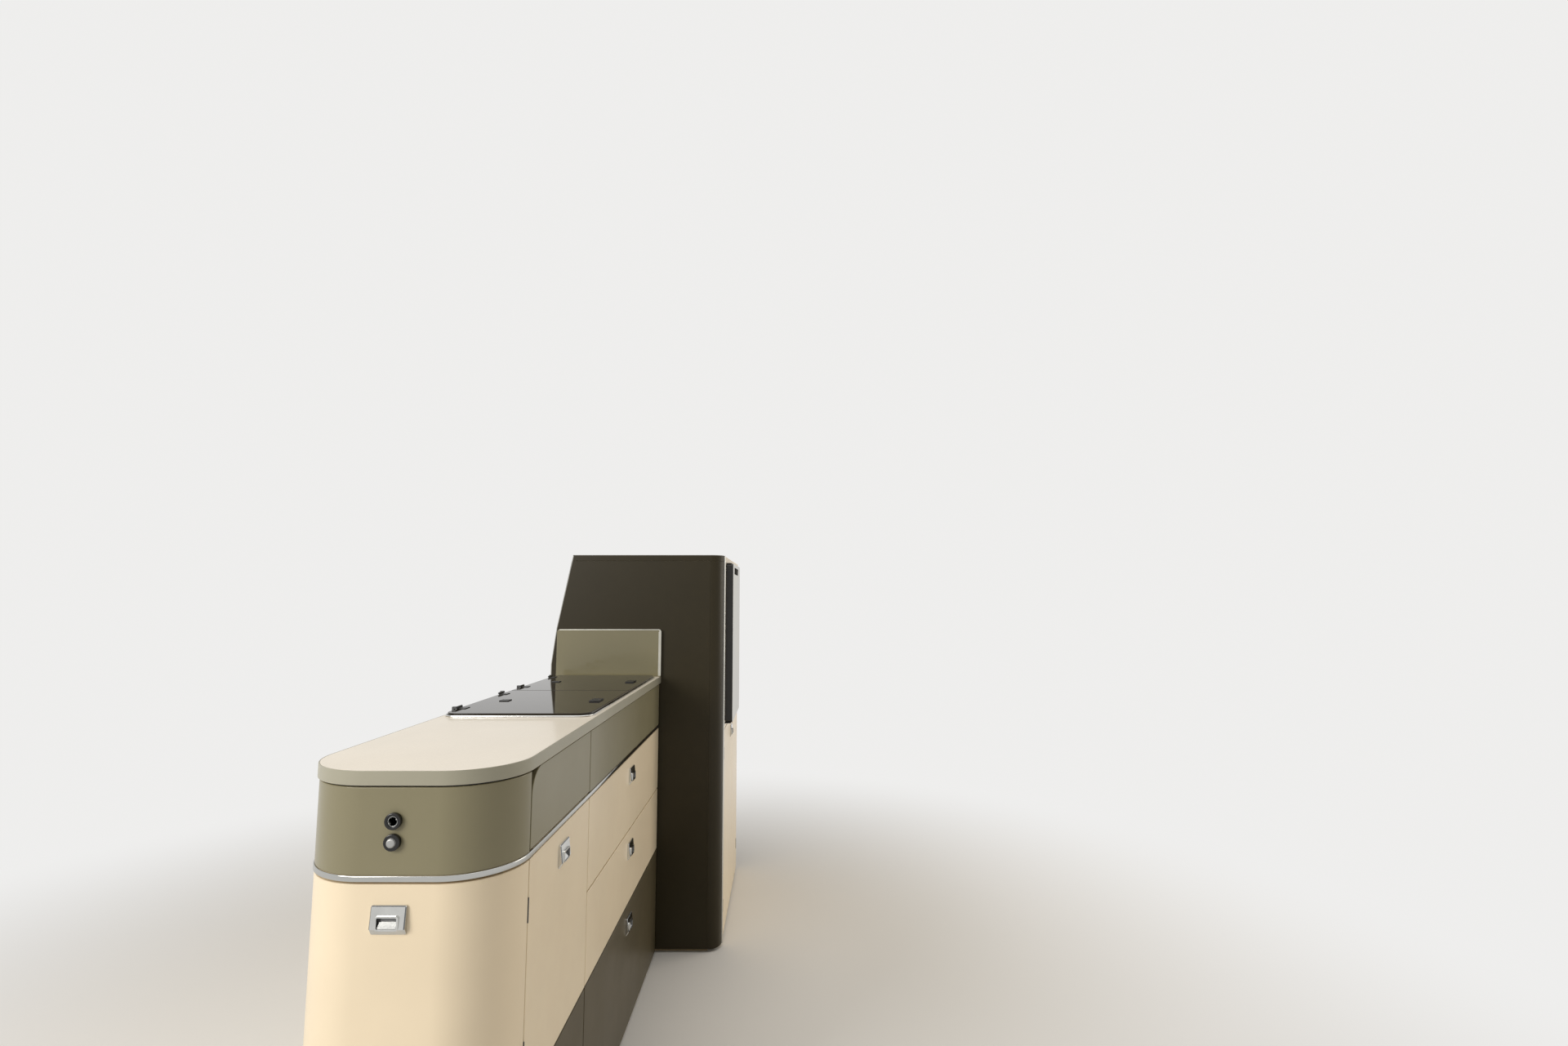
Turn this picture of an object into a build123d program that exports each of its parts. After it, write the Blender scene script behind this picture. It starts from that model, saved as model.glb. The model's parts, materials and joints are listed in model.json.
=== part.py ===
import os

from build123d import *

os.makedirs("parts", exist_ok=True)

# Low run, in millimetres: lengths run along X from the rounded near end
run_length = 1352.0
run_depth = 350.0
worktop_height = 880.0
worktop_thickness = 22.0
edging_thickness = 2.0
aisle_corner_radius = 110.0
wall_corner_radius = 125.0
wall_return = 17.0
end_seam = 110.0
column_seam = 480.0

# Fronts of the low run, stacked down from the worktop
shadow_gap = 3.0
fascia_height = 129.5
deck_thickness = 9.0
top_drawer_height = 196.5
middle_drawer_height = 191.5
toe_gap = 10.0

# Boards and the gaps between them
board = 15.0
back_thickness = 12.0
base_thickness = 18.0
front_thickness = 15.0
front_setback = 3.0
front_gap = 3.5
carcass_gap = 4.0
seat_gap = 0.3
trim_thickness = 3.0
trim_setback = 1.0
finger_radius = 45.0

# Drawers
drawer_wall = 10.0
drawer_lift = 16.0
drawer_drop = 30.0
drawer_back_gap = 18.0
runner_width = 13.0
runner_height = 30.0
runner_play = 0.5
runner_length = 280.0

# Latches
latch_width = 54.0
latch_height = 42.0
latch_drop = 50.0
latch_edge = 2.2
latch_top_proud = 4.6
latch_lip_proud = 8.2
latch_lip_height = 9.0
latch_bevel = 1.4
guard_width = 2.6
guard_proud = 9.4
guard_corner = 4.5
recess_proud = 2.6
tongue_width = 30.0
tongue_height = 16.0
tongue_offset = 3.0
tongue_gap = 1.2
tongue_foot_proud = 8.0
tongue_head_proud = 4.2
tongue_slope = 9.0

# Round fittings on the end fascia
fitting_diameter = 25.0
fitting_proud = 7.0
fitting_round = 1.5
barrel_diameter = 20.0
barrel_length = 34.0
socket_bore = 16.0
socket_drop = 49.0
fitting_pitch = 31.0
button_diameter = 14.0
button_rise = 3.0
button_round = 2.4

# Sink and hob unit set in the worktop
unit_near = 508.0
unit_far = 1318.0
unit_front_margin = 15.0
unit_back_margin = 10.0
unit_corner = 30.0
rim_border = 4.0
rim_height = 2.0
rim_ledge = 14.0
sheet = 2.0
well_depth = 32.0
bridge_width = 20.0
bowl_length = 300.0
bowl_width = 250.0
bowl_corner = 60.0
bowl_depth = 104.0
bowl_shift = -32.0
bowl_fillet = 22.0
drain_diameter = 60.0
lid_gap = 4.0
lid_rest_gap = 0.6
glass_thickness = 5.4
tab_length = 45.0
tab_width = 25.0
tab_height = 3.0
tab_setback = 52.0
stop_length = 24.0
stop_width = 23.0
stop_height = 2.0
stop_setback = 62.0

# Lid hinges
hinge_pin_radius = 2.6
hinge_rise = 3.4
hinge_inset = 2.0
hinge_spread = 250.0
post_width = 8.0
post_depth = 5.0
leaf_width = 26.0
leaf_reach = 20.0
leaf_thickness = 1.4

# Burners, pan supports, knobs and tap
support_radius = 78.0
support_bar = 5.0
support_foot = 4.0
support_height = 27.0
support_hub = 26.0
knob_diameter = 34.0
knob_height = 22.0
knob_taper = 6.0
tap_base_diameter = 38.0
tap_base_height = 24.0
tap_spout_diameter = 15.0
tap_reach = 170.0
tap_turn = 76.0
tap_bend = 30.0

# Tall cabinet
tall_length = 745.0
tall_height = 1287.0
tall_proud = 206.0
tall_top_thickness = 20.0
tall_corner_radius = 43.0
wall_bow = 21.0
wall_knee_height = 920.0
wall_bend_height = 1039.0
wall_bend_inset = 15.0
wall_top_inset = 64.0
splash_height = 156.0
splash_thickness = 12.0
splash_corner = 8.0

# Bright strip up the seam beside the tall cabinet's rounded corner
strip_width = 7.0
strip_proud = 4.0
strip_round = 3.0

# Fridge, locker and wardrobe: lengths from the tall cabinet's near side, heights from its top
fridge_near = 87.0
fridge_width = 358.0
fridge_drop = 25.0
fridge_height = 549.0
fridge_door_proud = 28.0
fridge_door_thickness = 25.0
fridge_door_corner = 10.0
fridge_depth = 450.0
fridge_wall = 32.0
fridge_lip = 3.5
fridge_shelf_thickness = 5.0
gasket_inset = 7.0
gasket_width = 10.5
handle_width = 195.0
handle_height = 24.0
handle_depth = 14.0
handle_drop = 12.0
handle_shift = 21.5
handle_corner = 6.0
door_bottom = 30.0
locker_drop = 23.0
stile_width = 23.0
far_stile = 22.0
wardrobe_drop = 37.0
door_gap = 3.0
shelf_height = 900.0
hinge_block_height = 40.0
hinge_block_depth = 8.0
hinge_foot = 6.0
hinge_tongue = 14.0
knuckle_radius = 1.2
knuckle_web = 1.2
bracket_inset = 8.0
bracket_setback = 12.0
bracket_radius = 7.0
bracket_thickness = 2.0

# Fixing holes
bolt_diameter = 8.5
bolt_edge = 60.0
wall_bolt_height = 260.0

# Places worked out from the sizes above
near_x = -(run_length + tall_length) / 2
tall_x = near_x + run_length
far_x = tall_x + tall_length
aisle_y = -run_depth / 2
wall_y = run_depth / 2
worktop_bottom = worktop_height - worktop_thickness
fascia_top = worktop_bottom - shadow_gap
socket_height = fascia_top - socket_drop
button_height = socket_height - fitting_pitch
deck_top = fascia_top - fascia_height
deck_bottom = deck_top - deck_thickness
drawer_split = deck_bottom - top_drawer_height
lower_split = drawer_split - middle_drawer_height
front_y = aisle_y + front_setback
front_back_y = front_y + front_thickness
carcass_inset = front_setback + front_thickness + carcass_gap
carcass_y = aisle_y + carcass_inset
back_y = wall_y - back_thickness
panel_seat = front_setback + front_thickness + seat_gap
deck_inset = trim_setback + trim_thickness
end_seam_x = near_x + end_seam
column_seam_x = near_x + column_seam
wall_leg_x = near_x + wall_corner_radius + wall_return
back_start_x = wall_leg_x + front_gap
bulkhead_x = end_seam_x + front_gap / 2
divider_x = column_seam_x - board / 2
far_board_x = tall_x - board
aisle_face = aisle_y - tall_proud
tall_wall_y = wall_y + wall_bow
fridge_top = tall_height - fridge_drop
fridge_bottom = fridge_top - fridge_height
locker_top = fridge_bottom - locker_drop
wardrobe_top = tall_height - wardrobe_drop


def rectangle_plan(x_low, x_high, y_low, y_high):
    """Rectangle between two corners."""
    with BuildSketch() as plan:
        with Locations(((x_low + x_high) / 2, (y_low + y_high) / 2)):
            Rectangle(x_high - x_low, y_high - y_low)
    return plan.sketch


def run_plan(inset, end_x):
    """Plan of the low run up to end_x, rounded at the near end, set in from the worktop's edge."""
    near = near_x + inset
    aisle = aisle_y + inset
    wall = wall_y - inset
    full_end = max(end_x, tall_x)
    with BuildSketch() as plan:
        with BuildLine():
            FilletPolyline(
                (full_end, aisle),
                (near, aisle),
                (near, wall),
                (full_end, wall),
                radius=[aisle_corner_radius - inset, wall_corner_radius - inset],
            )
            Line((full_end, wall), (full_end, aisle))
        make_face()
        if end_x < full_end:
            add(rectangle_plan(near, end_x, aisle, wall), mode=Mode.INTERSECT)
    return plan.sketch


def band_plan(outer_inset, thickness, aisle_end, wall_end):
    """Plan of a panel bent round the near end, its legs ending at two places along X."""
    end_x = max(aisle_end, wall_end)
    with BuildSketch() as plan:
        add(run_plan(outer_inset, end_x))
        add(run_plan(outer_inset + thickness, end_x + thickness), mode=Mode.SUBTRACT)
        if aisle_end < end_x:
            add(rectangle_plan(aisle_end, end_x, aisle_y, 0), mode=Mode.SUBTRACT)
        if wall_end < end_x:
            add(rectangle_plan(wall_end, end_x, 0, wall_y), mode=Mode.SUBTRACT)
    return plan.sketch


def wall_at(height):
    """Y of the van wall beside the tall cabinet at a height."""
    knee = (wall_knee_height, tall_wall_y)
    bend = (wall_bend_height, tall_wall_y - wall_bend_inset)
    top = (tall_height, tall_wall_y - wall_top_inset)
    if height <= knee[0]:
        return knee[1]
    low, high = (knee, bend) if height <= bend[0] else (bend, top)
    return low[1] + (high[1] - low[1]) * (height - low[0]) / (high[0] - low[0])


def wall_points(z_low, z_high, inset):
    """Points (y, z) up the wall side between two heights, set in from the wall."""
    heights = [z_low]
    heights += [z for z in (wall_knee_height, wall_bend_height) if z_low < z < z_high]
    heights += [z_high]
    return [(wall_at(z) - inset, z) for z in heights]


def upright_outline(y_front, z_low, z_high, inset):
    """Outline, Y across and Z up, of an upright board whose wall side follows the van wall."""
    wall_side = wall_points(z_low, z_high, inset)
    with BuildSketch() as outline:
        with BuildLine():
            Polyline((y_front, z_high), (y_front, z_low), *wall_side, close=True)
        make_face()
    return outline.sketch


def block(x_low, x_high, y_low, y_high, z_low, z_high):
    """Plain board or bar between two corners."""
    with BuildPart() as piece:
        with BuildSketch(Plane.XY.offset(z_low)):
            add(rectangle_plan(x_low, x_high, y_low, y_high))
        extrude(amount=z_high - z_low)
    return piece.part


def keep(piece, name):
    """Label a finished piece and write it to its own file."""
    piece.part.label = name
    export_step(piece.part, f"parts/{name}.step")


# Base board: the near end fits inside the bent lower panel, the rest is a toe recess
with BuildPart() as base_board:
    with BuildSketch():
        add(run_plan(panel_seat, back_start_x))
        add(rectangle_plan(bulkhead_x, back_start_x, aisle_y, carcass_y), mode=Mode.SUBTRACT)
        add(rectangle_plan(back_start_x, tall_x, carcass_y, wall_y))
    extrude(amount=base_thickness)
    base_middle = (bulkhead_x + tall_x) / 2
    base_pitch_x = tall_x - bulkhead_x - 2 * bolt_edge
    base_pitch_y = run_depth - 2 * bolt_edge
    with Locations((base_middle, 0, base_thickness)):
        with GridLocations(base_pitch_x, base_pitch_y, 2, 2):
            Hole(bolt_diameter / 2)
keep(base_board, "base_board")

with BuildPart() as back_board:
    add(block(back_start_x, tall_x, back_y, wall_y, base_thickness, worktop_bottom))
keep(back_board, "back_board")

# Uprights: a bulkhead cut to the bent panels' inner side, the divider and the far side
with BuildPart() as run_uprights:
    with BuildSketch(Plane.XY.offset(base_thickness)):
        add(run_plan(panel_seat, bulkhead_x + board))
        add(rectangle_plan(bulkhead_x, bulkhead_x + board, carcass_y, wall_y), mode=Mode.INTERSECT)
        for upright_x in (divider_x, far_board_x):
            add(rectangle_plan(upright_x, upright_x + board, carcass_y, back_y))
    extrude(amount=worktop_bottom - base_thickness)
keep(run_uprights, "run_uprights")

# Decks: the end compartment's shelf, which carries the bent panel's top edge, and the
# deck behind the bright trim, in three bays between the uprights
lower_top = lower_split - front_gap / 2
deck_bays = [
    (bulkhead_x + board, divider_x),
    (divider_x + board, far_board_x),
]
with BuildPart() as run_decks:
    with BuildSketch(Plane.XY.offset(lower_top - board)):
        add(run_plan(panel_seat, bulkhead_x))
    extrude(amount=board)
    with BuildSketch(Plane.XY.offset(deck_bottom)):
        add(run_plan(deck_inset, bulkhead_x))
        for bay_low, bay_high in deck_bays:
            add(rectangle_plan(bay_low, bay_high, aisle_y + deck_inset, back_y))
    extrude(amount=deck_thickness)
keep(run_decks, "run_decks")

# Bright trim strip round the end and along the front
with BuildPart() as bright_trim:
    with BuildSketch(Plane.XY.offset(deck_bottom)):
        add(band_plan(trim_setback, trim_thickness, far_board_x, wall_leg_x))
    extrude(amount=deck_thickness)
keep(bright_trim, "bright_trim")

# Bent fascia with holes for the two round fittings
fitting_plane = Plane(origin=(near_x + front_setback, 0, 0), x_dir=(0, -1, 0), z_dir=(-1, 0, 0))
with BuildPart() as end_fascia:
    with BuildSketch(Plane.XY.offset(deck_top)):
        add(band_plan(front_setback, front_thickness, end_seam_x - front_gap / 2, wall_leg_x))
    extrude(amount=fascia_top - deck_top)
    with BuildSketch(fitting_plane):
        with Locations((0, socket_height), (0, button_height)):
            Circle(barrel_diameter / 2 + seat_gap)
    extrude(amount=-2 * front_thickness, mode=Mode.SUBTRACT)
keep(end_fascia, "end_fascia")

with BuildPart() as front_fascia:
    add(block(column_seam_x + front_gap / 2, far_board_x, front_y, front_back_y, deck_top, fascia_top))
keep(front_fascia, "front_fascia")

with BuildPart() as end_lower_panel:
    with BuildSketch(Plane.XY.offset(toe_gap)):
        add(band_plan(front_setback, front_thickness, end_seam_x - front_gap / 2, wall_leg_x))
    extrude(amount=lower_top - toe_gap)
keep(end_lower_panel, "end_lower_panel")


def fitting(height):
    """Round collar on the end fascia with the barrel that passes through the panel."""
    with BuildPart() as body:
        with BuildSketch(fitting_plane):
            with Locations((0, height)):
                Circle(fitting_diameter / 2)
        extrude(amount=fitting_proud)
        fillet(body.edges().group_by(Axis.X)[0], fitting_round)
        with BuildSketch(fitting_plane):
            with Locations((0, height)):
                Circle(barrel_diameter / 2)
        extrude(amount=-barrel_length)
    return body.part


# Round fittings: a socket with a bore and a push button with a domed cap
with BuildPart() as power_socket:
    add(fitting(socket_height))
    with BuildSketch(fitting_plane.offset(fitting_proud)):
        with Locations((0, socket_height)):
            Circle(socket_bore / 2)
    extrude(amount=-barrel_length, mode=Mode.SUBTRACT)
keep(power_socket, "power_socket")

with BuildPart() as push_button:
    add(fitting(button_height))
    with BuildSketch(fitting_plane.offset(fitting_proud)):
        with Locations((0, button_height)):
            Circle(button_diameter / 2)
    extrude(amount=button_rise)
    fillet(push_button.edges().group_by(Axis.X)[0], button_round)
keep(push_button, "push_button")

# Sink and hob unit: pressed sheet tray with two wells and a deep bowl
lid_near_x = near_x + unit_near
lid_far_x = near_x + unit_far
lid_front_y = aisle_y + unit_front_margin
lid_back_y = wall_y - unit_back_margin
unit_middle_x = (lid_near_x + lid_far_x) / 2
unit_middle_y = (lid_front_y + lid_back_y) / 2
rim_length = lid_far_x - lid_near_x + 2 * rim_border
rim_width = lid_back_y - lid_front_y + 2 * rim_border
cut_length = rim_length - 2 * rim_ledge
cut_width = rim_width - 2 * rim_ledge
rim_top = worktop_height + rim_height
well_floor = worktop_height - well_depth
well_length = (cut_length - bridge_width) / 2 - sheet - seat_gap
well_width = cut_width - 2 * sheet - 2 * seat_gap
well_pitch = (well_length + bridge_width) / 2
well_corner = unit_corner
bowl_x = unit_middle_x - well_pitch + bowl_shift
bowl_floor = well_floor - bowl_depth


def bowl_form(grow):
    """Solid of the bowl's space, or of its outside when grown by the sheet."""
    with BuildPart() as form:
        with BuildSketch(Plane.XY.offset(bowl_floor - grow)):
            with Locations((bowl_x, unit_middle_y)):
                RectangleRounded(bowl_length + 2 * grow, bowl_width + 2 * grow, bowl_corner + grow)
        extrude(amount=bowl_depth)
        fillet(form.edges().group_by(Axis.Z)[0], bowl_fillet + grow)
    return form.part


with BuildPart() as worktop:
    with BuildSketch(Plane.XY.offset(worktop_bottom)):
        add(run_plan(edging_thickness, tall_x))
        with Locations((unit_middle_x, unit_middle_y)):
            RectangleRounded(cut_length, cut_width, well_corner, mode=Mode.SUBTRACT)
    extrude(amount=worktop_thickness)
keep(worktop, "worktop")

with BuildPart() as worktop_edging:
    with BuildSketch(Plane.XY.offset(worktop_bottom)):
        add(band_plan(0, edging_thickness, tall_x, tall_x))
    extrude(amount=worktop_thickness)
keep(worktop_edging, "worktop_edging")

with BuildPart() as unit_tray:
    with BuildSketch(Plane.XY.offset(worktop_height)):
        with Locations((unit_middle_x, unit_middle_y)):
            RectangleRounded(rim_length, rim_width, unit_corner + rim_border)
    extrude(amount=rim_height)
    with BuildSketch(Plane.XY.offset(well_floor - sheet)):
        with Locations((unit_middle_x, unit_middle_y)):
            with GridLocations(2 * well_pitch, 0, 2, 1):
                RectangleRounded(well_length + 2 * sheet, well_width + 2 * sheet, well_corner)
    extrude(amount=well_depth + sheet)
    add(bowl_form(sheet))
    with BuildSketch(Plane.XY.offset(well_floor)):
        with Locations((unit_middle_x, unit_middle_y)):
            with GridLocations(2 * well_pitch, 0, 2, 1):
                RectangleRounded(well_length, well_width, well_corner - sheet)
    extrude(amount=well_depth + rim_height, mode=Mode.SUBTRACT)
    add(bowl_form(0), mode=Mode.SUBTRACT)
    with BuildSketch(Plane.XY.offset(bowl_floor)):
        with Locations((bowl_x, unit_middle_y)):
            Circle(drain_diameter / 2)
            with PolarLocations(drain_diameter / 4, 6):
                Circle(3 * sheet / 2, mode=Mode.SUBTRACT)
    extrude(amount=sheet)
keep(unit_tray, "unit_tray")

# Burners: offset along X and Y from the middle of the hob well, radius. Each is a stack
# of three discs, given by how far they are set in and how high they reach
hob_x = unit_middle_x + well_pitch
burners = [
    (-92.0, 32.0, 34.0),
    (92.0, -2.0, 44.0),
]
burner_discs = [(0.0, 8.0), (6.0, 16.0), (10.0, 20.0)]
knob_spots = [(-28.0, -118.0), (28.0, -118.0)]
with BuildPart() as hob_burners:
    for shift_x, shift_y, radius in burners:
        with Locations((hob_x + shift_x, unit_middle_y + shift_y, well_floor)):
            for disc_inset, disc_top in burner_discs:
                Cylinder(radius - disc_inset, disc_top, align=(Align.CENTER, Align.CENTER, Align.MIN))
keep(hob_burners, "hob_burners")

with BuildPart() as pan_supports:
    for shift_x, shift_y, radius in burners:
        centre = (hob_x + shift_x, unit_middle_y + shift_y)
        with BuildSketch(Plane.XY.offset(well_floor + support_height - support_bar)):
            with Locations(centre):
                Circle(support_radius)
                Circle(support_radius - support_bar, mode=Mode.SUBTRACT)
                bar_length = support_radius - support_hub - support_bar / 2
                with PolarLocations((support_radius + support_hub) / 2 - support_bar / 4, 4, start_angle=45):
                    Rectangle(bar_length, support_bar)
        extrude(amount=support_bar)
        with BuildSketch(Plane.XY.offset(well_floor)):
            with Locations(centre):
                with PolarLocations(support_radius - support_bar / 2, 4, start_angle=45):
                    Circle(support_foot / 2)
        extrude(amount=support_height - support_bar)
keep(pan_supports, "pan_supports")

with BuildPart() as hob_knobs:
    for shift_x, shift_y in knob_spots:
        with BuildSketch(Plane.XY.offset(well_floor)):
            with Locations((hob_x + shift_x, unit_middle_y + shift_y)):
                Circle(knob_diameter / 2)
        extrude(amount=knob_height, taper=knob_taper)
keep(hob_knobs, "hob_knobs")

tap_x = bowl_x + bowl_length / 2 + tap_base_diameter
tap_y = unit_middle_y + well_width / 2 - 2 * tap_base_diameter
tap_z = well_floor + tap_spout_diameter
with BuildPart() as folded_tap:
    with BuildSketch(Plane.XY.offset(well_floor)):
        with Locations((tap_x, tap_y)):
            Circle(tap_base_diameter / 2)
    extrude(amount=tap_base_height)
    with BuildLine() as spout_path:
        FilletPolyline(
            (tap_x, tap_y, tap_z),
            (tap_x, tap_y - tap_reach, tap_z),
            (tap_x - tap_turn, tap_y - tap_reach, tap_z),
            radius=tap_bend,
        )
    with BuildSketch(Plane(origin=(tap_x, tap_y, tap_z), z_dir=(0, -1, 0))):
        Circle(tap_spout_diameter / 2)
    sweep(path=spout_path.line)
keep(folded_tap, "folded_tap")

# Two glass lids with their hinge leaves, finger tabs and rear stops: name, near x, far x
pin_y = lid_back_y - hinge_inset
glass_bottom = rim_top + lid_rest_gap
glass_top = glass_bottom + glass_thickness
pin_z = glass_top + hinge_rise
lids = [
    ("sink_lid", lid_near_x, unit_middle_x - lid_gap / 2, -1),
    ("hob_lid", unit_middle_x + lid_gap / 2, lid_far_x, 1),
]
for lid_name, lid_low, lid_high, outer_side in lids:
    lid_middle = (lid_low + lid_high) / 2
    with BuildPart() as lid:
        with BuildSketch(Plane.XY.offset(glass_bottom)) as lid_outline:
            add(rectangle_plan(lid_low, lid_high, lid_front_y, lid_back_y))
            outer_corners = lid_outline.vertices().group_by(Axis.X)[0 if outer_side < 0 else -1]
            fillet(outer_corners, unit_corner)
        extrude(amount=glass_thickness)
    keep(lid, lid_name)
    with BuildPart() as fittings:
        for side in (-1, 1):
            leaf_x = lid_middle + side * hinge_spread / 2
            add(block(leaf_x - leaf_width / 2, leaf_x + leaf_width / 2, pin_y - leaf_reach, pin_y,
                      glass_top, glass_top + leaf_thickness))
            add(block(leaf_x - leaf_width / 2, leaf_x + leaf_width / 2, pin_y - hinge_pin_radius,
                      pin_y, glass_top, pin_z))
            with BuildSketch(Plane.YZ.offset(leaf_x - leaf_width / 2)):
                with Locations((pin_y, pin_z)):
                    Circle(hinge_pin_radius)
            extrude(amount=leaf_width)
        tab_y = aisle_y + tab_setback
        add(block(lid_middle - tab_length / 2, lid_middle + tab_length / 2, tab_y - tab_width / 2,
                  tab_y + tab_width / 2, glass_top, glass_top + tab_height))
        stop_y = lid_back_y - stop_setback
        add(block(lid_middle - stop_length / 2, lid_middle + stop_length / 2, stop_y - stop_width / 2,
                  stop_y + stop_width / 2, glass_top, glass_top + stop_height))
    keep(fittings, lid_name + "_fittings")

post_y = lid_back_y + hinge_rise / 5
with BuildPart() as lid_hinge_posts:
    for lid_name, lid_low, lid_high, outer_side in lids:
        for side in (-1, 1):
            leaf_x = (lid_low + lid_high) / 2 + side * hinge_spread / 2
            post_x = leaf_x + side * (leaf_width / 2 + post_width / 2 + seat_gap)
            with BuildSketch(Plane.YZ.offset(post_x - post_width / 2)):
                with Locations((pin_y, pin_z)):
                    Circle(hinge_pin_radius)
                with BuildLine():
                    Polyline(
                        (pin_y, pin_z + hinge_pin_radius),
                        (post_y + post_depth, pin_z + hinge_pin_radius),
                        (post_y + post_depth, rim_top),
                        (post_y, rim_top),
                        (post_y, pin_z - hinge_pin_radius),
                        (pin_y, pin_z - hinge_pin_radius),
                        close=True,
                    )
                make_face()
            extrude(amount=post_width)
keep(lid_hinge_posts, "lid_hinge_posts")


def latch(plane):
    """Latch plate that thickens towards its lower lip, with a guard round a sloped tongue."""
    side_plane = Plane(origin=plane.origin, x_dir=plane.z_dir, z_dir=-plane.x_dir)
    across = Axis(plane.origin, plane.x_dir)
    foot = -latch_height / 2
    recess_foot = -tongue_offset - tongue_height / 2
    with BuildPart() as piece:
        with BuildSketch(side_plane):
            with BuildLine():
                Polyline(
                    (0, foot),
                    (latch_edge, foot),
                    (latch_lip_proud, foot + latch_lip_height),
                    (latch_top_proud, -foot - latch_bevel),
                    (latch_top_proud - latch_bevel, -foot),
                    (0, -foot),
                    close=True,
                )
            make_face()
        extrude(amount=latch_width / 2, both=True)
        ends = piece.faces().sort_by(across)
        outer_edges = [
            edge
            for end in (ends[0], ends[-1])
            for edge in end.edges()
            if (edge.center() - plane.origin).dot(plane.z_dir) > latch_edge / 2
        ]
        chamfer(outer_edges, latch_bevel)
        with BuildSketch(plane.offset(recess_proud)):
            with Locations((0, -tongue_offset)):
                RectangleRounded(tongue_width + 2 * guard_width, tongue_height + 2 * guard_width,
                                 guard_corner)
        extrude(amount=guard_proud - recess_proud)
        with BuildSketch(plane.offset(guard_proud)):
            with Locations((0, -tongue_offset)):
                RectangleRounded(tongue_width, tongue_height, guard_corner - guard_width)
        extrude(amount=recess_proud - guard_proud, mode=Mode.SUBTRACT)
        with BuildSketch(side_plane):
            with BuildLine():
                Polyline(
                    (recess_proud / 2, recess_foot),
                    (tongue_foot_proud, recess_foot),
                    (tongue_head_proud, recess_foot + tongue_slope),
                    (recess_proud / 2, recess_foot + tongue_slope),
                    close=True,
                )
            make_face()
        extrude(amount=tongue_width / 2 - tongue_gap, both=True)
    return piece.part


# Drawers: name, near seam, far seam, front bottom, front top, latch fitted
drawers = [
    ("cutlery", end_seam_x, column_seam_x, deck_top, fascia_top + front_gap / 2, False),
    ("pantry", end_seam_x, column_seam_x, lower_split, deck_bottom - front_gap / 2, True),
    ("base", end_seam_x, column_seam_x, toe_gap - front_gap / 2, lower_split, True),
    ("top", column_seam_x, far_board_x, drawer_split, deck_bottom - front_gap / 2, True),
    ("middle", column_seam_x, far_board_x, lower_split, drawer_split, True),
    ("bottom", column_seam_x, far_board_x, toe_gap - front_gap / 2, lower_split, True),
]
runner_bars = []
for drawer_name, seam_low, seam_high, z_low, z_high, latched in drawers:
    x_low = seam_low + front_gap / 2
    x_high = seam_high - (front_gap / 2 if seam_high < far_board_x else 0)
    bottom = z_low + front_gap / 2
    top = z_high - front_gap / 2
    inside_low = (bulkhead_x if seam_low < column_seam_x else divider_x) + board
    inside_high = divider_x if seam_low < column_seam_x else far_board_x
    front_plane = Plane(origin=((x_low + x_high) / 2, front_y, 0), x_dir=(1, 0, 0), z_dir=(0, -1, 0))
    with BuildPart() as front:
        with BuildSketch(front_plane) as front_outline:
            with Locations((0, (bottom + top) / 2)):
                Rectangle(x_high - x_low, top - bottom)
            if not latched:
                fillet(front_outline.vertices().group_by(Axis.Y)[-1].sort_by(Axis.X)[0], finger_radius)
        extrude(amount=-front_thickness)
    keep(front, drawer_name + "_drawer_front")
    box_low = inside_low + runner_width
    box_high = inside_high - runner_width
    box_bottom = bottom + drawer_lift
    box_top = top - drawer_drop
    box_back = back_y - drawer_back_gap
    with BuildPart() as box:
        add(block(box_low, box_high, front_back_y, box_back, box_bottom, box_top))
        add(
            block(box_low + drawer_wall, box_high - drawer_wall, front_back_y + drawer_wall,
                  box_back - drawer_wall, box_bottom + drawer_wall, box_top + drawer_wall),
            mode=Mode.SUBTRACT,
        )
    keep(box, drawer_name + "_drawer_box")
    if latched:
        with BuildPart() as drawer_latch:
            add(latch(front_plane.shift_origin(((x_low + x_high) / 2, front_y, top - latch_drop))))
        keep(drawer_latch, drawer_name + "_latch")
    runner_bottom = (box_bottom + box_top - runner_height) / 2
    runner_start = carcass_y
    for bar_low, bar_high in (
        (inside_low, box_low - runner_play),
        (box_high + runner_play, inside_high),
    ):
        runner_bars.append((bar_low, bar_high, runner_start, runner_start + runner_length,
                            runner_bottom, runner_bottom + runner_height))

with BuildPart() as drawer_runners:
    for bar in runner_bars:
        add(block(*bar))
keep(drawer_runners, "drawer_runners")

# Bent end door, hung on the aisle side of the near bulkhead
door_low = lower_split + front_gap / 2
door_high = deck_bottom - front_gap
with BuildPart() as end_door:
    with BuildSketch(Plane.XY.offset(door_low)):
        add(band_plan(front_setback, front_thickness, end_seam_x - front_gap / 2, wall_leg_x))
    extrude(amount=door_high - door_low)
keep(end_door, "end_door")

with BuildPart() as end_latch:
    add(latch(fitting_plane.shift_origin((near_x + front_setback, 0, door_high - latch_drop))))
keep(end_latch, "end_latch")

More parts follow.
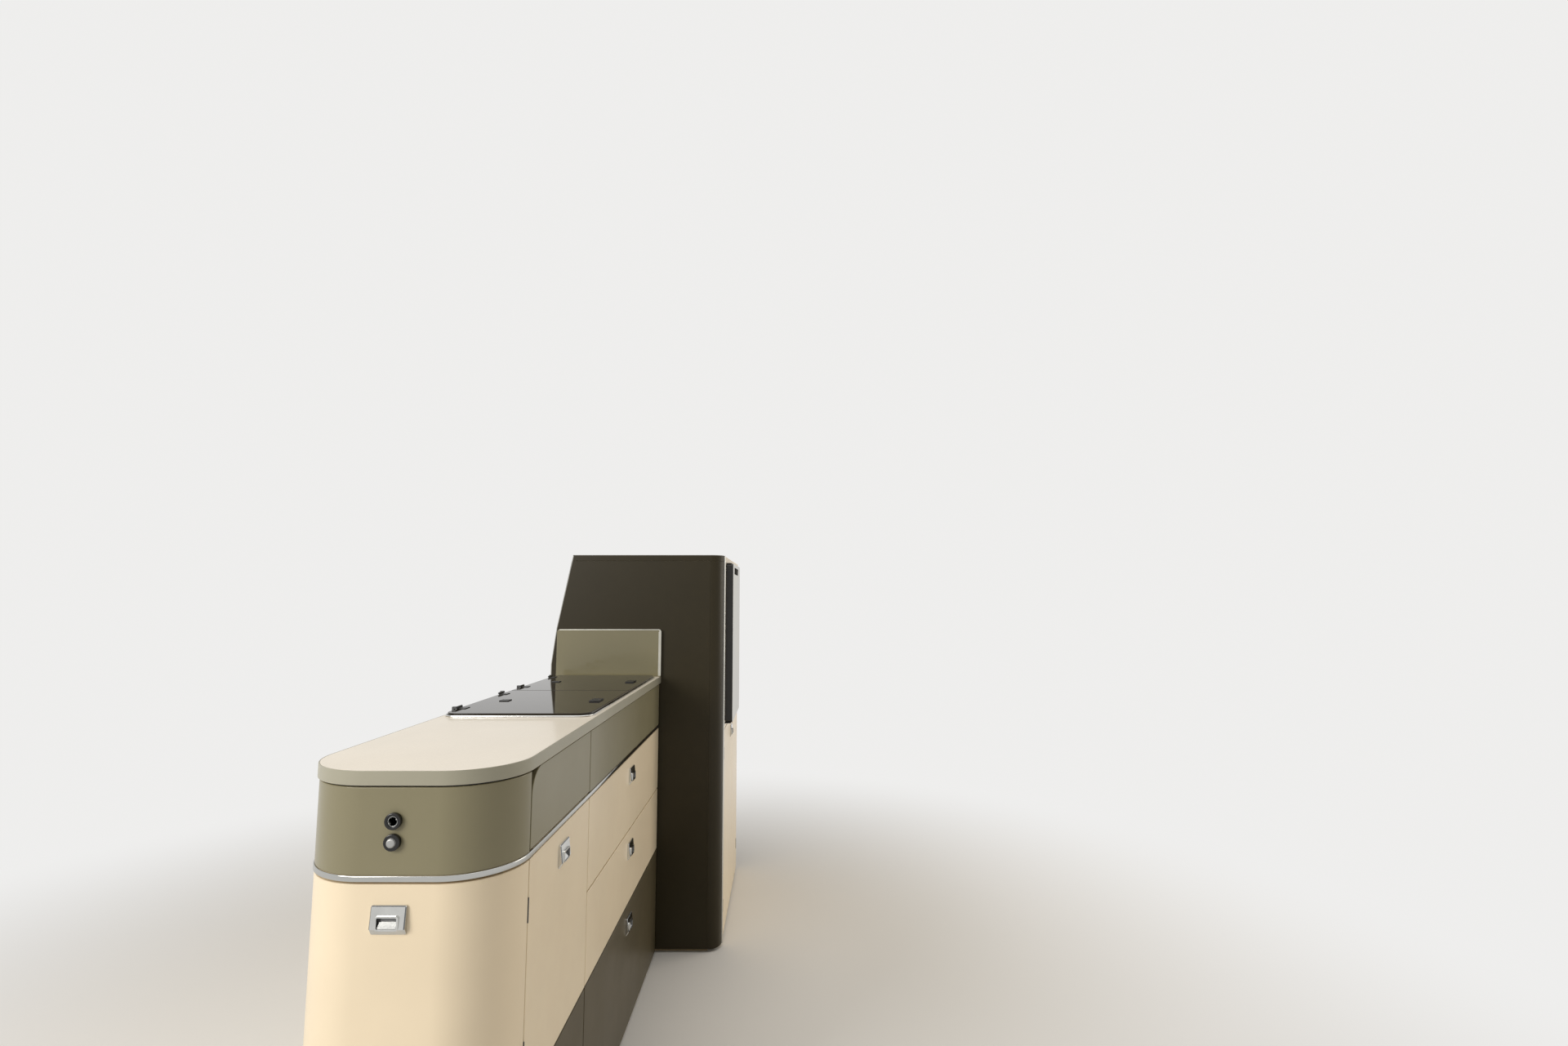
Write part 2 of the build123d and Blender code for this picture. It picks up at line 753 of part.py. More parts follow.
# Tall cabinet: shell
tall_board_top = tall_height - tall_top_thickness
frame_back = aisle_face + board
corner_end_y = aisle_face + tall_corner_radius
corner_end_x = tall_x + tall_corner_radius
with BuildPart() as tall_base:
    with BuildSketch():
        add(rectangle_plan(tall_x + board, far_x, corner_end_y, tall_wall_y))
        add(rectangle_plan(corner_end_x, far_x, aisle_face + carcass_inset, corner_end_y))
    extrude(amount=base_thickness)
    tall_middle = ((tall_x + far_x) / 2, (aisle_face + carcass_inset + tall_wall_y) / 2)
    tall_pitch_x = tall_length - 2 * bolt_edge
    tall_pitch_y = tall_wall_y - aisle_face - carcass_inset - 2 * bolt_edge
    with Locations((*tall_middle, base_thickness)):
        with GridLocations(tall_pitch_x, tall_pitch_y, 2, 2):
            Hole(bolt_diameter / 2)
keep(tall_base, "tall_base")

with BuildPart() as tall_front_panel:
    with BuildSketch(Plane.YZ.offset(tall_x)):
        add(upright_outline(corner_end_y, toe_gap, tall_board_top, 0))
    extrude(amount=board)
keep(tall_front_panel, "tall_front_panel")

with BuildPart() as tall_corner_post:
    with BuildSketch(Plane.XY.offset(toe_gap)):
        with Locations((corner_end_x, corner_end_y)):
            Circle(tall_corner_radius)
            Circle(tall_corner_radius - board, mode=Mode.SUBTRACT)
            Rectangle(tall_corner_radius, 2 * tall_corner_radius, align=(Align.MIN, Align.CENTER),
                      mode=Mode.SUBTRACT)
            Rectangle(2 * tall_corner_radius, tall_corner_radius, align=(Align.CENTER, Align.MIN),
                      mode=Mode.SUBTRACT)
    extrude(amount=tall_board_top - toe_gap)
keep(tall_corner_post, "tall_corner_post")

with BuildPart() as corner_strip:
    add(block(corner_end_x, corner_end_x + strip_width, aisle_face - strip_proud, aisle_face,
              toe_gap, tall_height))
    fillet(corner_strip.edges().filter_by(Axis.Z).group_by(Axis.Y)[0], strip_round)
keep(corner_strip, "corner_strip")

with BuildPart() as tall_back:
    with BuildSketch(Plane.YZ.offset(tall_x + board)):
        with BuildLine():
            outer = wall_points(base_thickness, tall_board_top, 0)
            inner = wall_points(base_thickness, tall_board_top, back_thickness)
            Polyline(*outer, *reversed(inner), close=True)
        make_face()
    extrude(amount=tall_length - board)
    wall_plane = Plane(
        origin=((tall_x + far_x) / 2, tall_wall_y, wall_bolt_height), x_dir=(1, 0, 0), z_dir=(0, 1, 0)
    )
    with BuildSketch(wall_plane):
        with GridLocations(tall_pitch_x, 2 * bolt_edge, 2, 2):
            Circle(bolt_diameter / 2)
    extrude(amount=-2 * back_thickness, mode=Mode.SUBTRACT)
keep(tall_back, "tall_back")

with BuildPart() as tall_top:
    with BuildSketch(Plane.XY.offset(tall_board_top)) as top_plan:
        add(rectangle_plan(tall_x, far_x, aisle_face, wall_at(tall_height)))
        fillet(top_plan.vertices().group_by(Axis.Y)[0].sort_by(Axis.X)[0], tall_corner_radius)
    extrude(amount=tall_top_thickness)
keep(tall_top, "tall_top")

# Face frame of the tall cabinet with its three openings: near x, far x, bottom, top
fridge_low_x = tall_x + fridge_near
fridge_high_x = fridge_low_x + fridge_width
wardrobe_low_x = fridge_high_x + stile_width
wardrobe_high_x = far_x - far_stile
openings = [
    (fridge_low_x + fridge_lip, fridge_high_x - fridge_lip,
     fridge_bottom + fridge_lip, fridge_top - fridge_lip),
    (fridge_low_x, fridge_high_x, door_bottom, locker_top),
    (wardrobe_low_x, wardrobe_high_x, door_bottom, wardrobe_top),
]
aisle_plane = Plane(origin=(0, aisle_face, 0), x_dir=(1, 0, 0), z_dir=(0, -1, 0))
with BuildPart() as aisle_frame:
    with BuildSketch(aisle_plane):
        add(rectangle_plan(corner_end_x, far_x, toe_gap, tall_board_top))
        for open_low, open_high, open_bottom, open_top in openings:
            add(rectangle_plan(open_low, open_high, open_bottom, open_top), mode=Mode.SUBTRACT)
    extrude(amount=-board)
keep(aisle_frame, "aisle_frame")

# Inner boards of the tall cabinet
fridge_seat = fridge_bottom + fridge_lip + seat_gap
wardrobe_side_x = fridge_high_x + (stile_width - board) / 2
shelf_back_y = tall_wall_y - back_thickness
with BuildPart() as tall_shelves:
    with BuildSketch(Plane.XY.offset(fridge_seat - board)):
        add(rectangle_plan(tall_x + board, wardrobe_side_x, corner_end_y, shelf_back_y))
        add(rectangle_plan(corner_end_x, wardrobe_side_x, frame_back, corner_end_y))
    extrude(amount=board)
    add(block(wardrobe_side_x + board, far_x - board, frame_back + 2 * board, shelf_back_y,
              shelf_height, shelf_height + board))
keep(tall_shelves, "tall_shelves")

with BuildPart() as tall_uprights:
    for upright_x in (wardrobe_side_x, far_x - board):
        with BuildSketch(Plane.YZ.offset(upright_x)):
            add(upright_outline(frame_back, base_thickness, tall_board_top, back_thickness))
        extrude(amount=board)
keep(tall_uprights, "tall_uprights")

# Fridge: insulated box with its shelves
body_low_x = fridge_low_x + fridge_lip + seat_gap
body_high_x = fridge_high_x - fridge_lip - seat_gap
body_top = fridge_top - fridge_lip - seat_gap
with BuildPart() as fridge_body:
    add(block(body_low_x, body_high_x, aisle_face, aisle_face + fridge_depth, fridge_seat, body_top))
    add(
        block(body_low_x + fridge_wall, body_high_x - fridge_wall, aisle_face - fridge_wall,
              aisle_face + fridge_depth - fridge_wall, fridge_seat + fridge_wall, body_top - fridge_wall),
        mode=Mode.SUBTRACT,
    )
keep(fridge_body, "fridge_body")

shelf_pitch = (body_top - fridge_seat - 2 * fridge_wall) / 3
with BuildPart() as fridge_shelves:
    for level in (1, 2):
        shelf_z = fridge_seat + fridge_wall + level * shelf_pitch
        add(block(body_low_x + fridge_wall, body_high_x - fridge_wall, aisle_face + 2 * fridge_wall,
                  aisle_face + fridge_depth - fridge_wall, shelf_z, shelf_z + fridge_shelf_thickness))
keep(fridge_shelves, "fridge_shelves")

# Fridge door with a recessed grip at its top edge
fridge_door_y = aisle_face - fridge_door_proud
fridge_middle_x = (fridge_low_x + fridge_high_x) / 2
with BuildPart() as fridge_door:
    with BuildSketch(aisle_plane.offset(fridge_door_proud)):
        with Locations((fridge_middle_x, (fridge_bottom + fridge_top) / 2)):
            RectangleRounded(fridge_width, fridge_height, fridge_door_corner)
    extrude(amount=-fridge_door_thickness)
    with BuildSketch(aisle_plane.offset(fridge_door_proud)):
        with Locations((fridge_middle_x - handle_shift, fridge_top - handle_drop - handle_height / 2)):
            RectangleRounded(handle_width, handle_height, handle_corner)
    extrude(amount=-handle_depth, mode=Mode.SUBTRACT)
    with BuildSketch(aisle_plane.offset(fridge_door_proud - fridge_door_thickness)):
        with Locations((fridge_middle_x, (fridge_bottom + fridge_top) / 2)):
            gasket_length = fridge_width - 2 * gasket_inset
            gasket_height = fridge_height - 2 * gasket_inset
            RectangleRounded(gasket_length, gasket_height, fridge_door_corner)
            RectangleRounded(gasket_length - 2 * gasket_width, gasket_height - 2 * gasket_width,
                             fridge_door_corner / 2, mode=Mode.SUBTRACT)
    extrude(amount=-(fridge_door_proud - fridge_door_thickness - seat_gap))
keep(fridge_door, "fridge_door")

# Hinged doors of the tall cabinet: name, near x, far x, top, hinge side. Their knuckles lie
# in the seam beside each door, on the plane of its outer face
hinge_blocks = []
knuckles = []
cabinet_doors = [
    ("locker", fridge_low_x, fridge_high_x, locker_top, -1),
    ("wardrobe", wardrobe_low_x, wardrobe_high_x, wardrobe_top, 1),
]
for door_name, open_low, open_high, open_top, hinge_side in cabinet_doors:
    panel_low = open_low + door_gap
    panel_high = open_high - door_gap
    panel_top = open_top - door_gap
    with BuildPart() as door:
        with BuildSketch(aisle_plane):
            add(rectangle_plan(panel_low, panel_high, door_bottom + door_gap, panel_top))
        extrude(amount=-board)
    keep(door, door_name + "_door")
    latch_x = (panel_high if hinge_side < 0 else panel_low) + hinge_side * latch_width
    with BuildPart() as door_latch:
        add(latch(aisle_plane.shift_origin((latch_x, aisle_face, panel_top - latch_drop))))
    keep(door_latch, door_name + "_latch")
    hinge_edge = open_low if hinge_side < 0 else open_high
    for hinge_z in (door_bottom + 2 * hinge_block_height, open_top - 2 * hinge_block_height):
        foot = sorted((hinge_edge, hinge_edge + hinge_side * hinge_foot))
        tongue = sorted((hinge_edge, hinge_edge - hinge_side * hinge_tongue))
        z_range = (hinge_z - hinge_block_height / 2, hinge_z + hinge_block_height / 2)
        hinge_blocks.append((*foot, frame_back, frame_back + hinge_tongue, *z_range))
        hinge_blocks.append((*tongue, frame_back + seat_gap, frame_back + hinge_tongue, *z_range))
        knuckle_x = hinge_edge - hinge_side * door_gap / 2
        knuckles.append((knuckle_x, aisle_face, frame_back + hinge_tongue / 2, *z_range))

# Fixed halves of the hinges: the end door's on the bulkhead, the cabinet doors' behind the
# frame, each with a knuckle on a web, and the fridge's round-ended brackets above and below
end_hinge_y = front_back_y + 2 * seat_gap
for hinge_z in (door_low + 2 * hinge_block_height, door_high - 2 * hinge_block_height):
    z_range = (hinge_z - hinge_block_height / 2, hinge_z + hinge_block_height / 2)
    hinge_blocks.append((bulkhead_x - hinge_block_depth, bulkhead_x,
                         end_hinge_y, end_hinge_y + 2 * hinge_block_depth, *z_range))
    knuckles.append((end_seam_x, front_y, end_hinge_y + hinge_block_depth, *z_range))
bracket_x = fridge_low_x + bracket_inset
bracket_y = fridge_door_y + bracket_setback
with BuildPart() as door_hinges:
    for hinge_block in hinge_blocks:
        add(block(*hinge_block))
    for knuckle_x, knuckle_y, web_end, z_low, z_high in knuckles:
        with BuildSketch(Plane.XY.offset(z_low)):
            with Locations((knuckle_x, knuckle_y)):
                Circle(knuckle_radius)
            add(rectangle_plan(knuckle_x - knuckle_web / 2, knuckle_x + knuckle_web / 2, knuckle_y, web_end))
        extrude(amount=z_high - z_low)
    for bracket_z in (fridge_bottom - seat_gap - bracket_thickness, fridge_top + seat_gap):
        with BuildSketch(Plane.XY.offset(bracket_z)):
            with Locations((bracket_x, bracket_y)):
                Circle(bracket_radius)
            add(rectangle_plan(bracket_x - bracket_radius, bracket_x + bracket_radius, bracket_y, aisle_face))
        extrude(amount=bracket_thickness)
keep(door_hinges, "door_hinges")

with BuildPart() as splashback:
    with BuildSketch(Plane.YZ.offset(tall_x)) as splash_outline:
        with Locations((0, worktop_height + splash_height / 2)):
            Rectangle(run_depth, splash_height)
        fillet(splash_outline.vertices().group_by(Axis.Y)[-1], splash_corner)
    extrude(amount=-splash_thickness)
keep(splashback, "splashback")
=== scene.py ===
import json
import logging
import math
from collections.abc import Callable, Sequence
from dataclasses import dataclass
from enum import Enum

import bmesh
import bpy
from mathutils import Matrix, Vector

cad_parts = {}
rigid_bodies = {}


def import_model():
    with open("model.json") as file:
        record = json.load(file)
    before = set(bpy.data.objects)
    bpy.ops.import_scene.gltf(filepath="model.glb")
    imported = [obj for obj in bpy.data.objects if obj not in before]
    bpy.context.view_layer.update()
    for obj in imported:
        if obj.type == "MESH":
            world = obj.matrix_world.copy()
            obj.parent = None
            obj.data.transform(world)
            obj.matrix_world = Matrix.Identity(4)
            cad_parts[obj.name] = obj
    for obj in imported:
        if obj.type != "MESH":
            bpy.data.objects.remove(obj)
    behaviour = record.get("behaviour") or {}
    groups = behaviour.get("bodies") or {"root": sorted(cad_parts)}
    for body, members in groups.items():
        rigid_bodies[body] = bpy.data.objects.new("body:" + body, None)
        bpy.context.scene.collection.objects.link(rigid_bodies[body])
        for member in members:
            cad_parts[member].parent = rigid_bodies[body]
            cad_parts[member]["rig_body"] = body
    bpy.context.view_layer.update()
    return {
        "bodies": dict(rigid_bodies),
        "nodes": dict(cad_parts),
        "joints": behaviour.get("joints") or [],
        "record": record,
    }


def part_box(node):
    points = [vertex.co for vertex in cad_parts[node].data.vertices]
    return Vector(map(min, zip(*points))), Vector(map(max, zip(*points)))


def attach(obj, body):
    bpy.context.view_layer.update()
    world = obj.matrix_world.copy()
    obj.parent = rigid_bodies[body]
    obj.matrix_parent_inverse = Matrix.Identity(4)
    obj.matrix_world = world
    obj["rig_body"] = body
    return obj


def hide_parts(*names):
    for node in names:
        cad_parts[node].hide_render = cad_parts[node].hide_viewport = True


log = logging.getLogger("kitchen_unit")
logging.basicConfig(level=logging.INFO, format="%(message)s")

Node = bpy.types.Node
Socket = bpy.types.NodeSocket
Tree = bpy.types.NodeTree
Mesh = bpy.types.Mesh
Piece = bpy.types.Object
Color = tuple[float, float, float]
Point = tuple[float, float, float]
Pairs = tuple[tuple[float, float], ...]
Profile = Pairs
FaceTest = Callable[[Vector, Vector], bool]

MM = 0.001
MERGE_DISTANCE = 1e-7  # metres
FIXED_BODY = "cabinet"
ORIGIN: Point = (0.0, 0.0, 0.0)
UP: Point = (0.0, 0.0, 1.0)
TO_NEAR_END: Point = (-1.0, 0.0, 0.0)
TO_WALL: Point = (0.0, 1.0, 0.0)
BOX_FACES = ((0, 1, 3, 2), (4, 6, 7, 5), (0, 4, 5, 1), (2, 3, 7, 6), (0, 2, 6, 4), (1, 5, 7, 3))


def screen_color(red: int, green: int, blue: int) -> Color:
    """Linear colour of a colour given in screen values.

    Args:
        red, green, blue: values from 0 to 255.

    Returns:
        The linear red, green and blue.
    """
    shares = (value / 255 for value in (red, green, blue))
    return tuple(share / 12.92 if share <= 0.04045 else ((share + 0.055) / 1.055) ** 2.4
                 for share in shares)


def linked(name: str, data: bpy.types.ID) -> Piece:
    """Object of a mesh, a lamp or a camera, shown in the scene.

    Args:
        name: the object's name.
        data: what it shows.

    Returns:
        The object.
    """
    obj = bpy.data.objects.new(name, data)
    bpy.context.scene.collection.objects.link(obj)
    return obj


def scaled(color: Color, factor: float = 1.0) -> tuple[float, float, float, float]:
    """A colour made lighter or darker, with full alpha."""
    return tuple(min(1.0, part * factor) for part in color) + (1.0,)


class NodeBoard:
    """Short calls that add nodes to a tree and join them."""

    def __init__(self, tree: Tree) -> None:
        """Take the tree to fill."""
        self.tree = tree

    def add(self, kind: str, values: dict | None = None, **settings: object) -> Node:
        """Add a node.

        Args:
            kind: the node's type.
            values: input name or number to a value or to the socket that feeds it.
            settings: properties of the node.

        Returns:
            The new node.
        """
        node = self.tree.nodes.new(kind)
        for key, value in settings.items():
            setattr(node, key, value)
        for key, value in (values or {}).items():
            self.put(node, key, value)
        return node

    def put(self, node: Node, key: str | int, value: object) -> None:
        """Set an input of a node, or join a socket to it.

        Args:
            node: the node.
            key: the input's name or number.
            value: the input's value, or the socket that feeds it.
        """
        if isinstance(value, Socket):
            self.tree.links.new(value, node.inputs[key])
        else:
            node.inputs[key].default_value = value

    def blend(self, share: Socket, first: object, second: object) -> Socket:
        """Mix two colours by a mask, 0 for the first and 1 for the second."""
        values = {0: share, 6: first, 7: second}
        return self.add("ShaderNodeMix", values, data_type="RGBA").outputs[2]

    def span(self, mask: Socket, low: float, high: float) -> Socket:
        """Turn a mask of 0 to 1 into a value between two limits."""
        return self.add("ShaderNodeMapRange", {0: mask, "To Min": low, "To Max": high}).outputs[0]

    def cut(self, value: Socket, low: object, high: object) -> Socket:
        """Turn a value between two limits into a mask of 0 to 1."""
        limits = {0: value, "From Min": low, "From Max": high}
        return self.add("ShaderNodeMapRange", limits).outputs[0]

    def compute(self, operation: str, first: object, second: object = 0.0) -> Socket:
        """Work out a value from one or two others."""
        return self.add("ShaderNodeMath", {0: first, 1: second}, operation=operation).outputs[0]

    def times(self, first: object, second: object) -> Socket:
        """Multiply two values."""
        return self.compute("MULTIPLY", first, second)

    def vectors(self, operation: str, first: object, second: object = ORIGIN) -> Node:
        """Node that works on one or two vectors."""
        return self.add("ShaderNodeVectorMath", {0: first, 1: second}, operation=operation)

    def place(self) -> Socket:
        """The point that is shaded, in the object's own coordinates."""
        return self.add("ShaderNodeTexCoord").outputs["Object"]


class Effect(Enum):
    """Surface effects that several finishes share."""

    MOTTLE = "soft_mottle"
    LINES = "brushed_lines"
    PEEL = "fine_peel"
    # Lighter outer edges: rubbed wear and a painted highlight.
    WEAR_AND_HIGHLIGHT = "edge_wear"
    DUST = "settled_dust"
    GRAIN = "board_grain"
    PLY = "stacked_veneers"


class EffectBoard(NodeBoard):
    """The nodes of one shared effect, from its named inputs to its one output."""

    def __init__(self, effect: Effect, output: str = "Mask", **inputs: object) -> None:
        """Start the group with its sockets.

        Args:
            effect: names the group.
            output: name of what it puts out.
            inputs: input name to its default, a number or a triple.
        """
        tree = bpy.data.node_groups.new(effect.value, "ShaderNodeTree")
        super().__init__(tree)
        for name, value in inputs.items():
            kind = "NodeSocketVector" if isinstance(value, tuple) else "NodeSocketFloat"
            socket = tree.interface.new_socket(name=name, in_out="INPUT", socket_type=kind)
            socket.default_value = value
        tree.interface.new_socket(name=output, in_out="OUTPUT", socket_type="NodeSocketFloat")
        self.given = self.add("NodeGroupInput").outputs

    def noise(self, detail: float, stretch: object = (1.0, 1.0, 1.0)) -> Socket:
        """Noise at the group's scale, on stretched object coordinates.

        Args:
            detail: how many finer layers it has.
            stretch: factor along each axis.

        Returns:
            The noise's socket.
        """
        drawn = self.vectors("MULTIPLY", self.place(), stretch).outputs[0]
        values = {"Vector": drawn, "Scale": self.given["Scale"], "Detail": detail}
        return self.add("ShaderNodeTexNoise", values).outputs[0]

    def close(self, value: Socket) -> Tree:
        """Lead a value out of the group."""
        self.add("NodeGroupOutput", {0: value})
        return self.tree


class Effects:
    """The shared shader node groups, each built once when it is first placed."""

    def __init__(self) -> None:
        """Start with no group built."""
        self._trees: dict[Effect, Tree] = {}
        self._drawings: dict[Effect, Callable[[], Tree]] = {
            Effect.MOTTLE: self._mottle,
            Effect.LINES: self._lines,
            Effect.PEEL: self._peel,
            Effect.WEAR_AND_HIGHLIGHT: self._wear_and_highlight,
            Effect.DUST: self._dust,
            Effect.GRAIN: self._grain,
            Effect.PLY: self._ply,
        }

    def tree(self, effect: Effect) -> Tree:
        """The group of an effect.

        Args:
            effect: which effect.

        Returns:
            Its group, the same one each time.
        """
        if effect not in self._trees:
            self._trees[effect] = self._drawings[effect]()
        return self._trees[effect]

    @staticmethod
    def _mottle() -> Tree:
        """Draw a cloudy mask with soft edges.

        Returns:
            The group.
        """
        board = EffectBoard(Effect.MOTTLE, Scale=8.0, Spread=0.2)
        low = board.compute("SUBTRACT", 0.5, board.given["Spread"])
        high = board.compute("ADD", 0.5, board.given["Spread"])
        return board.close(board.cut(board.noise(detail=3.0), low, high))

    @staticmethod
    def _lines() -> Tree:
        """Draw a mask of fine lines drawn out along one axis.

        Returns:
            The group.
        """
        board = EffectBoard(Effect.LINES, Stretch=(1.0, 1.0, 60.0), Scale=40.0)
        noise = board.noise(detail=2.0, stretch=board.given["Stretch"])
        return board.close(board.cut(noise, low=0.3, high=0.7))

    @staticmethod
    def _peel() -> Tree:
        """Draw the height of a fine pressed texture."""
        board = EffectBoard(Effect.PEEL, "Height", Scale=900.0)
        return board.close(board.noise(detail=1.0))

    @staticmethod
    def _wear_and_highlight() -> Tree:
        """Draw a mask of outer edges, broken up by noise, for rubbed wear and a painted highlight.

        Returns:
            The group.
        """
        board = EffectBoard(Effect.WEAR_AND_HIGHLIGHT, Start=0.52, Spread=0.06, Scale=30.0)
        point = board.add("ShaderNodeNewGeometry").outputs["Pointiness"]
        end = board.compute("ADD", board.given["Start"], board.given["Spread"])
        edge = board.cut(point, board.given["Start"], end)
        patches = board.cut(board.noise(detail=4.0), low=0.42, high=0.62)
        return board.close(board.times(edge, patches))

    @staticmethod
    def _dust() -> Tree:
        """Draw a mask of dust on faces that look up.

        Returns:
            The group.
        """
        board = EffectBoard(Effect.DUST, Scale=20.0)
        normal = board.add("ShaderNodeNewGeometry").outputs["Normal"]
        upward = board.add("ShaderNodeSeparateXYZ", {0: normal}).outputs["Z"]
        facing = board.cut(upward, low=0.55, high=1.0)
        return board.close(board.times(facing, board.noise(detail=5.0)))

    @staticmethod
    def _grain() -> Tree:
        """Draw a mask of the long rings of a peeled veneer.

        Returns:
            The group.
        """
        ring_density = 60.0
        board = EffectBoard(Effect.GRAIN, Stretch=(0.35, 5.0, 5.0), Scale=1.0)
        warp = board.noise(detail=1.0, stretch=board.given["Stretch"])
        rings = board.compute("SINE", board.times(warp, ring_density))
        return board.close(board.cut(rings, low=-0.6, high=1.0))

    @staticmethod
    def _ply() -> Tree:
        """Draw a mask of veneers in turn along an axis.

        Returns:
            The group.
        """
        board = EffectBoard(Effect.PLY, Across=UP, Veneer=0.0017)
        depth = board.vectors("DOT_PRODUCT", board.place(), board.given["Across"]).outputs["Value"]
        turns = board.compute("DIVIDE", depth, board.given["Veneer"])
        wave = board.compute("SINE", board.times(turns, math.pi))
        return board.close(board.cut(wave, low=-0.25, high=0.25))


class Dressing(NodeBoard):
    """The nodes of one material: its shader and the shared effects that feed it."""

    bump_depth = 0.0004  # metres

    def __init__(self, material: bpy.types.Material, effects: Effects) -> None:
        """Take the material's nodes and the shared effects.

        Args:
            material: the material to dress.
            effects: the shared groups.
        """
        super().__init__(material.node_tree)
        self._shader = material.node_tree.nodes["Principled BSDF"]
        self._effects = effects

    def effect(self, effect: Effect, **values: object) -> Socket:
        """Place a shared effect, its inputs named as in the group."""
        tree = self._effects.tree(effect)
        return self.add("ShaderNodeGroup", values, node_tree=tree).outputs[0]

    def feed(self, **values: object) -> None:
        """Set or join the shader's inputs, with _ for a space in their names."""
        for key, value in values.items():
            self.put(self._shader, key.replace("_", " "), value)

    def press(self, height: Socket, strength: float) -> None:
        """Join a height to the shader's normal through a bump."""
        values = {"Strength": strength, "Distance": self.bump_depth, "Height": height}
        self.feed(Normal=self.add("ShaderNodeBump", values).outputs["Normal"])


class Look(Enum):
    """The finishes, each by its material's name."""

    CREAM_FRONT = "cream_front"
    GRAPHITE_FRONT = "graphite_front"
    GRAPHITE_PANEL = "graphite_panel"
    GREY_FASCIA = "grey_fascia"
    WORKTOP_LAMINATE = "worktop_laminate"
    WORKTOP_EDGE = "worktop_edge"
    CARCASS_BOARD = "carcass_board"
    CARCASS_UPRIGHT = "carcass_upright"
    PLY_EDGE_LEVEL = "ply_edge_level"
    PLY_EDGE_LENGTH = "ply_edge_length"
    PLY_EDGE_DEPTH = "ply_edge_depth"
    BRIGHT_TRIM = "bright_trim"
    LATCH_METAL = "latch_metal"
    LATCH_PLATE = "latch_plate"
    LATCH_RECESS_SHADE = "latch_recess"
    BRUSHED_STEEL = "brushed_steel"
    DARK_STEEL = "dark_steel"
    ZINC_STEEL = "zinc_steel"
    EDGE_PROFILE = "edge_profile"
    BURNER_ALLOY = "burner_alloy"
    SHELF_WIRE = "shelf_wire"
    PALE_PROFILE = "pale_profile"
    FRIDGE_FACE = "fridge_face"
    LID_GLASS = "lid_glass"
    SPLASH_GLOSS = "splash_gloss"
    CAST_BLACK = "cast_black"
    BLACK_PLASTIC = "black_plastic"
    GLOSS_BLACK = "gloss_black"
    ENAMEL_BLACK = "enamel_black"
    SEAL_GREY = "seal_grey"
    CERAMIC_WHITE = "ceramic_white"
    BIN_PLASTIC = "bin_plastic"
    FRIDGE_LINER = "fridge_liner"
    DARK_GRIP = "dark_grip"
    MAT_GREY = "mat_grey"


@dataclass(frozen=True)
class Finish:
    """A finish that a material is made from, with a soft mottle and a fine pressed texture.

    Each pair is the low and high factor that a mask moves the colour or the roughness between.
    A strength is the depth of the bump, and a share is how much of a mask shows.
    """

    look: Look
    color: Color
    roughness: float = 0.4
    smears: tuple[float, float] = (0.85, 1.15)
    smear_scale: float = 0.6
    smear_spread: float = 0.25
    mottle: float = 0.04
    mottle_scale: float = 9.0
    mottle_spread: float = 0.18
    peel: float = 0.03
    peel_scale: float = 900.0
    # Outer edges lightened by this share: partly rubbed wear, partly a painted highlight.
    wear_and_highlight: float = 0.0
    wear_and_highlight_start: float = 0.53
    wear_and_highlight_spread: float = 0.08
    wear_and_highlight_scale: float = 26.0
    worn_and_lit_tone: float = 1.35
    specular: float = 0.5

    def material(self, effects: Effects) -> bpy.types.Material:
        """Build the material.

        Args:
            effects: the shared groups.

        Returns:
            The material, ready to assign.
        """
        made = bpy.data.materials.new(self.look.value)
        made.use_nodes = True
        nodes = Dressing(made, effects)
        nodes.feed(Specular_IOR_Level=self.specular)
        self.dress(nodes)
        return made

    def dress(self, nodes: Dressing) -> None:
        """Join the effects to the shader.

        Args:
            nodes: the material's nodes.
        """
        smear = nodes.effect(Effect.MOTTLE, Scale=self.mottle_scale * self.smear_scale,
                             Spread=self.smear_spread)
        nodes.feed(Base_Color=self.ground(nodes), Roughness=self.smeared(nodes, smear))
        nodes.press(nodes.effect(Effect.PEEL, Scale=self.peel_scale), self.peel)

    def ground(self, nodes: Dressing) -> Socket:
        """Mottle the colour and lighten its outer edges, partly as rubbed wear and partly as a
        painted highlight.

        Args:
            nodes: the material's nodes.

        Returns:
            The colour's socket.
        """
        cloud = nodes.effect(Effect.MOTTLE, Scale=self.mottle_scale, Spread=self.mottle_spread)
        tone = self.tones(nodes, cloud, 1 - self.mottle, 1 + self.mottle)
        if self.wear_and_highlight:
            # Rubbed wear and painted highlight: outer edges lighten.
            worn_and_lit = nodes.effect(Effect.WEAR_AND_HIGHLIGHT, Start=self.wear_and_highlight_start, Spread=self.wear_and_highlight_spread,
                                Scale=self.wear_and_highlight_scale)
            tone = self.stained(nodes, tone, worn_and_lit, self.wear_and_highlight, self.worn_and_lit_tone)
        return tone

    def tones(self, nodes: Dressing, mask: Socket, first: float, second: float) -> Socket:
        """Mix two tones of the colour, each a factor of it, by a mask."""
        return nodes.blend(mask, scaled(self.color, first), scaled(self.color, second))

    def stained(self, nodes: Dressing, tone: Socket, mask: Socket, share: float,
                factor: float) -> Socket:
        """Lay another tone of the colour over a colour where a mask shows."""
        return nodes.blend(nodes.times(mask, share), tone, scaled(self.color, factor))

    def smeared(self, nodes: Dressing, mask: Socket) -> Socket:
        """Vary the roughness by a mask."""
        low, high = self.smears
        return nodes.span(mask, self.roughness * low, self.roughness * high)


@dataclass(frozen=True)
class Laminate(Finish):
    """Satin laminate under a thin clear coat, as on the fronts."""

    coat: float = 0.2
    coat_roughness: float = 0.12

    def dress(self, nodes: Dressing) -> None:
        """Add the clear coat to the plain finish."""
        super().dress(nodes)
        nodes.feed(Coat_Weight=self.coat, Coat_Roughness=self.coat_roughness)


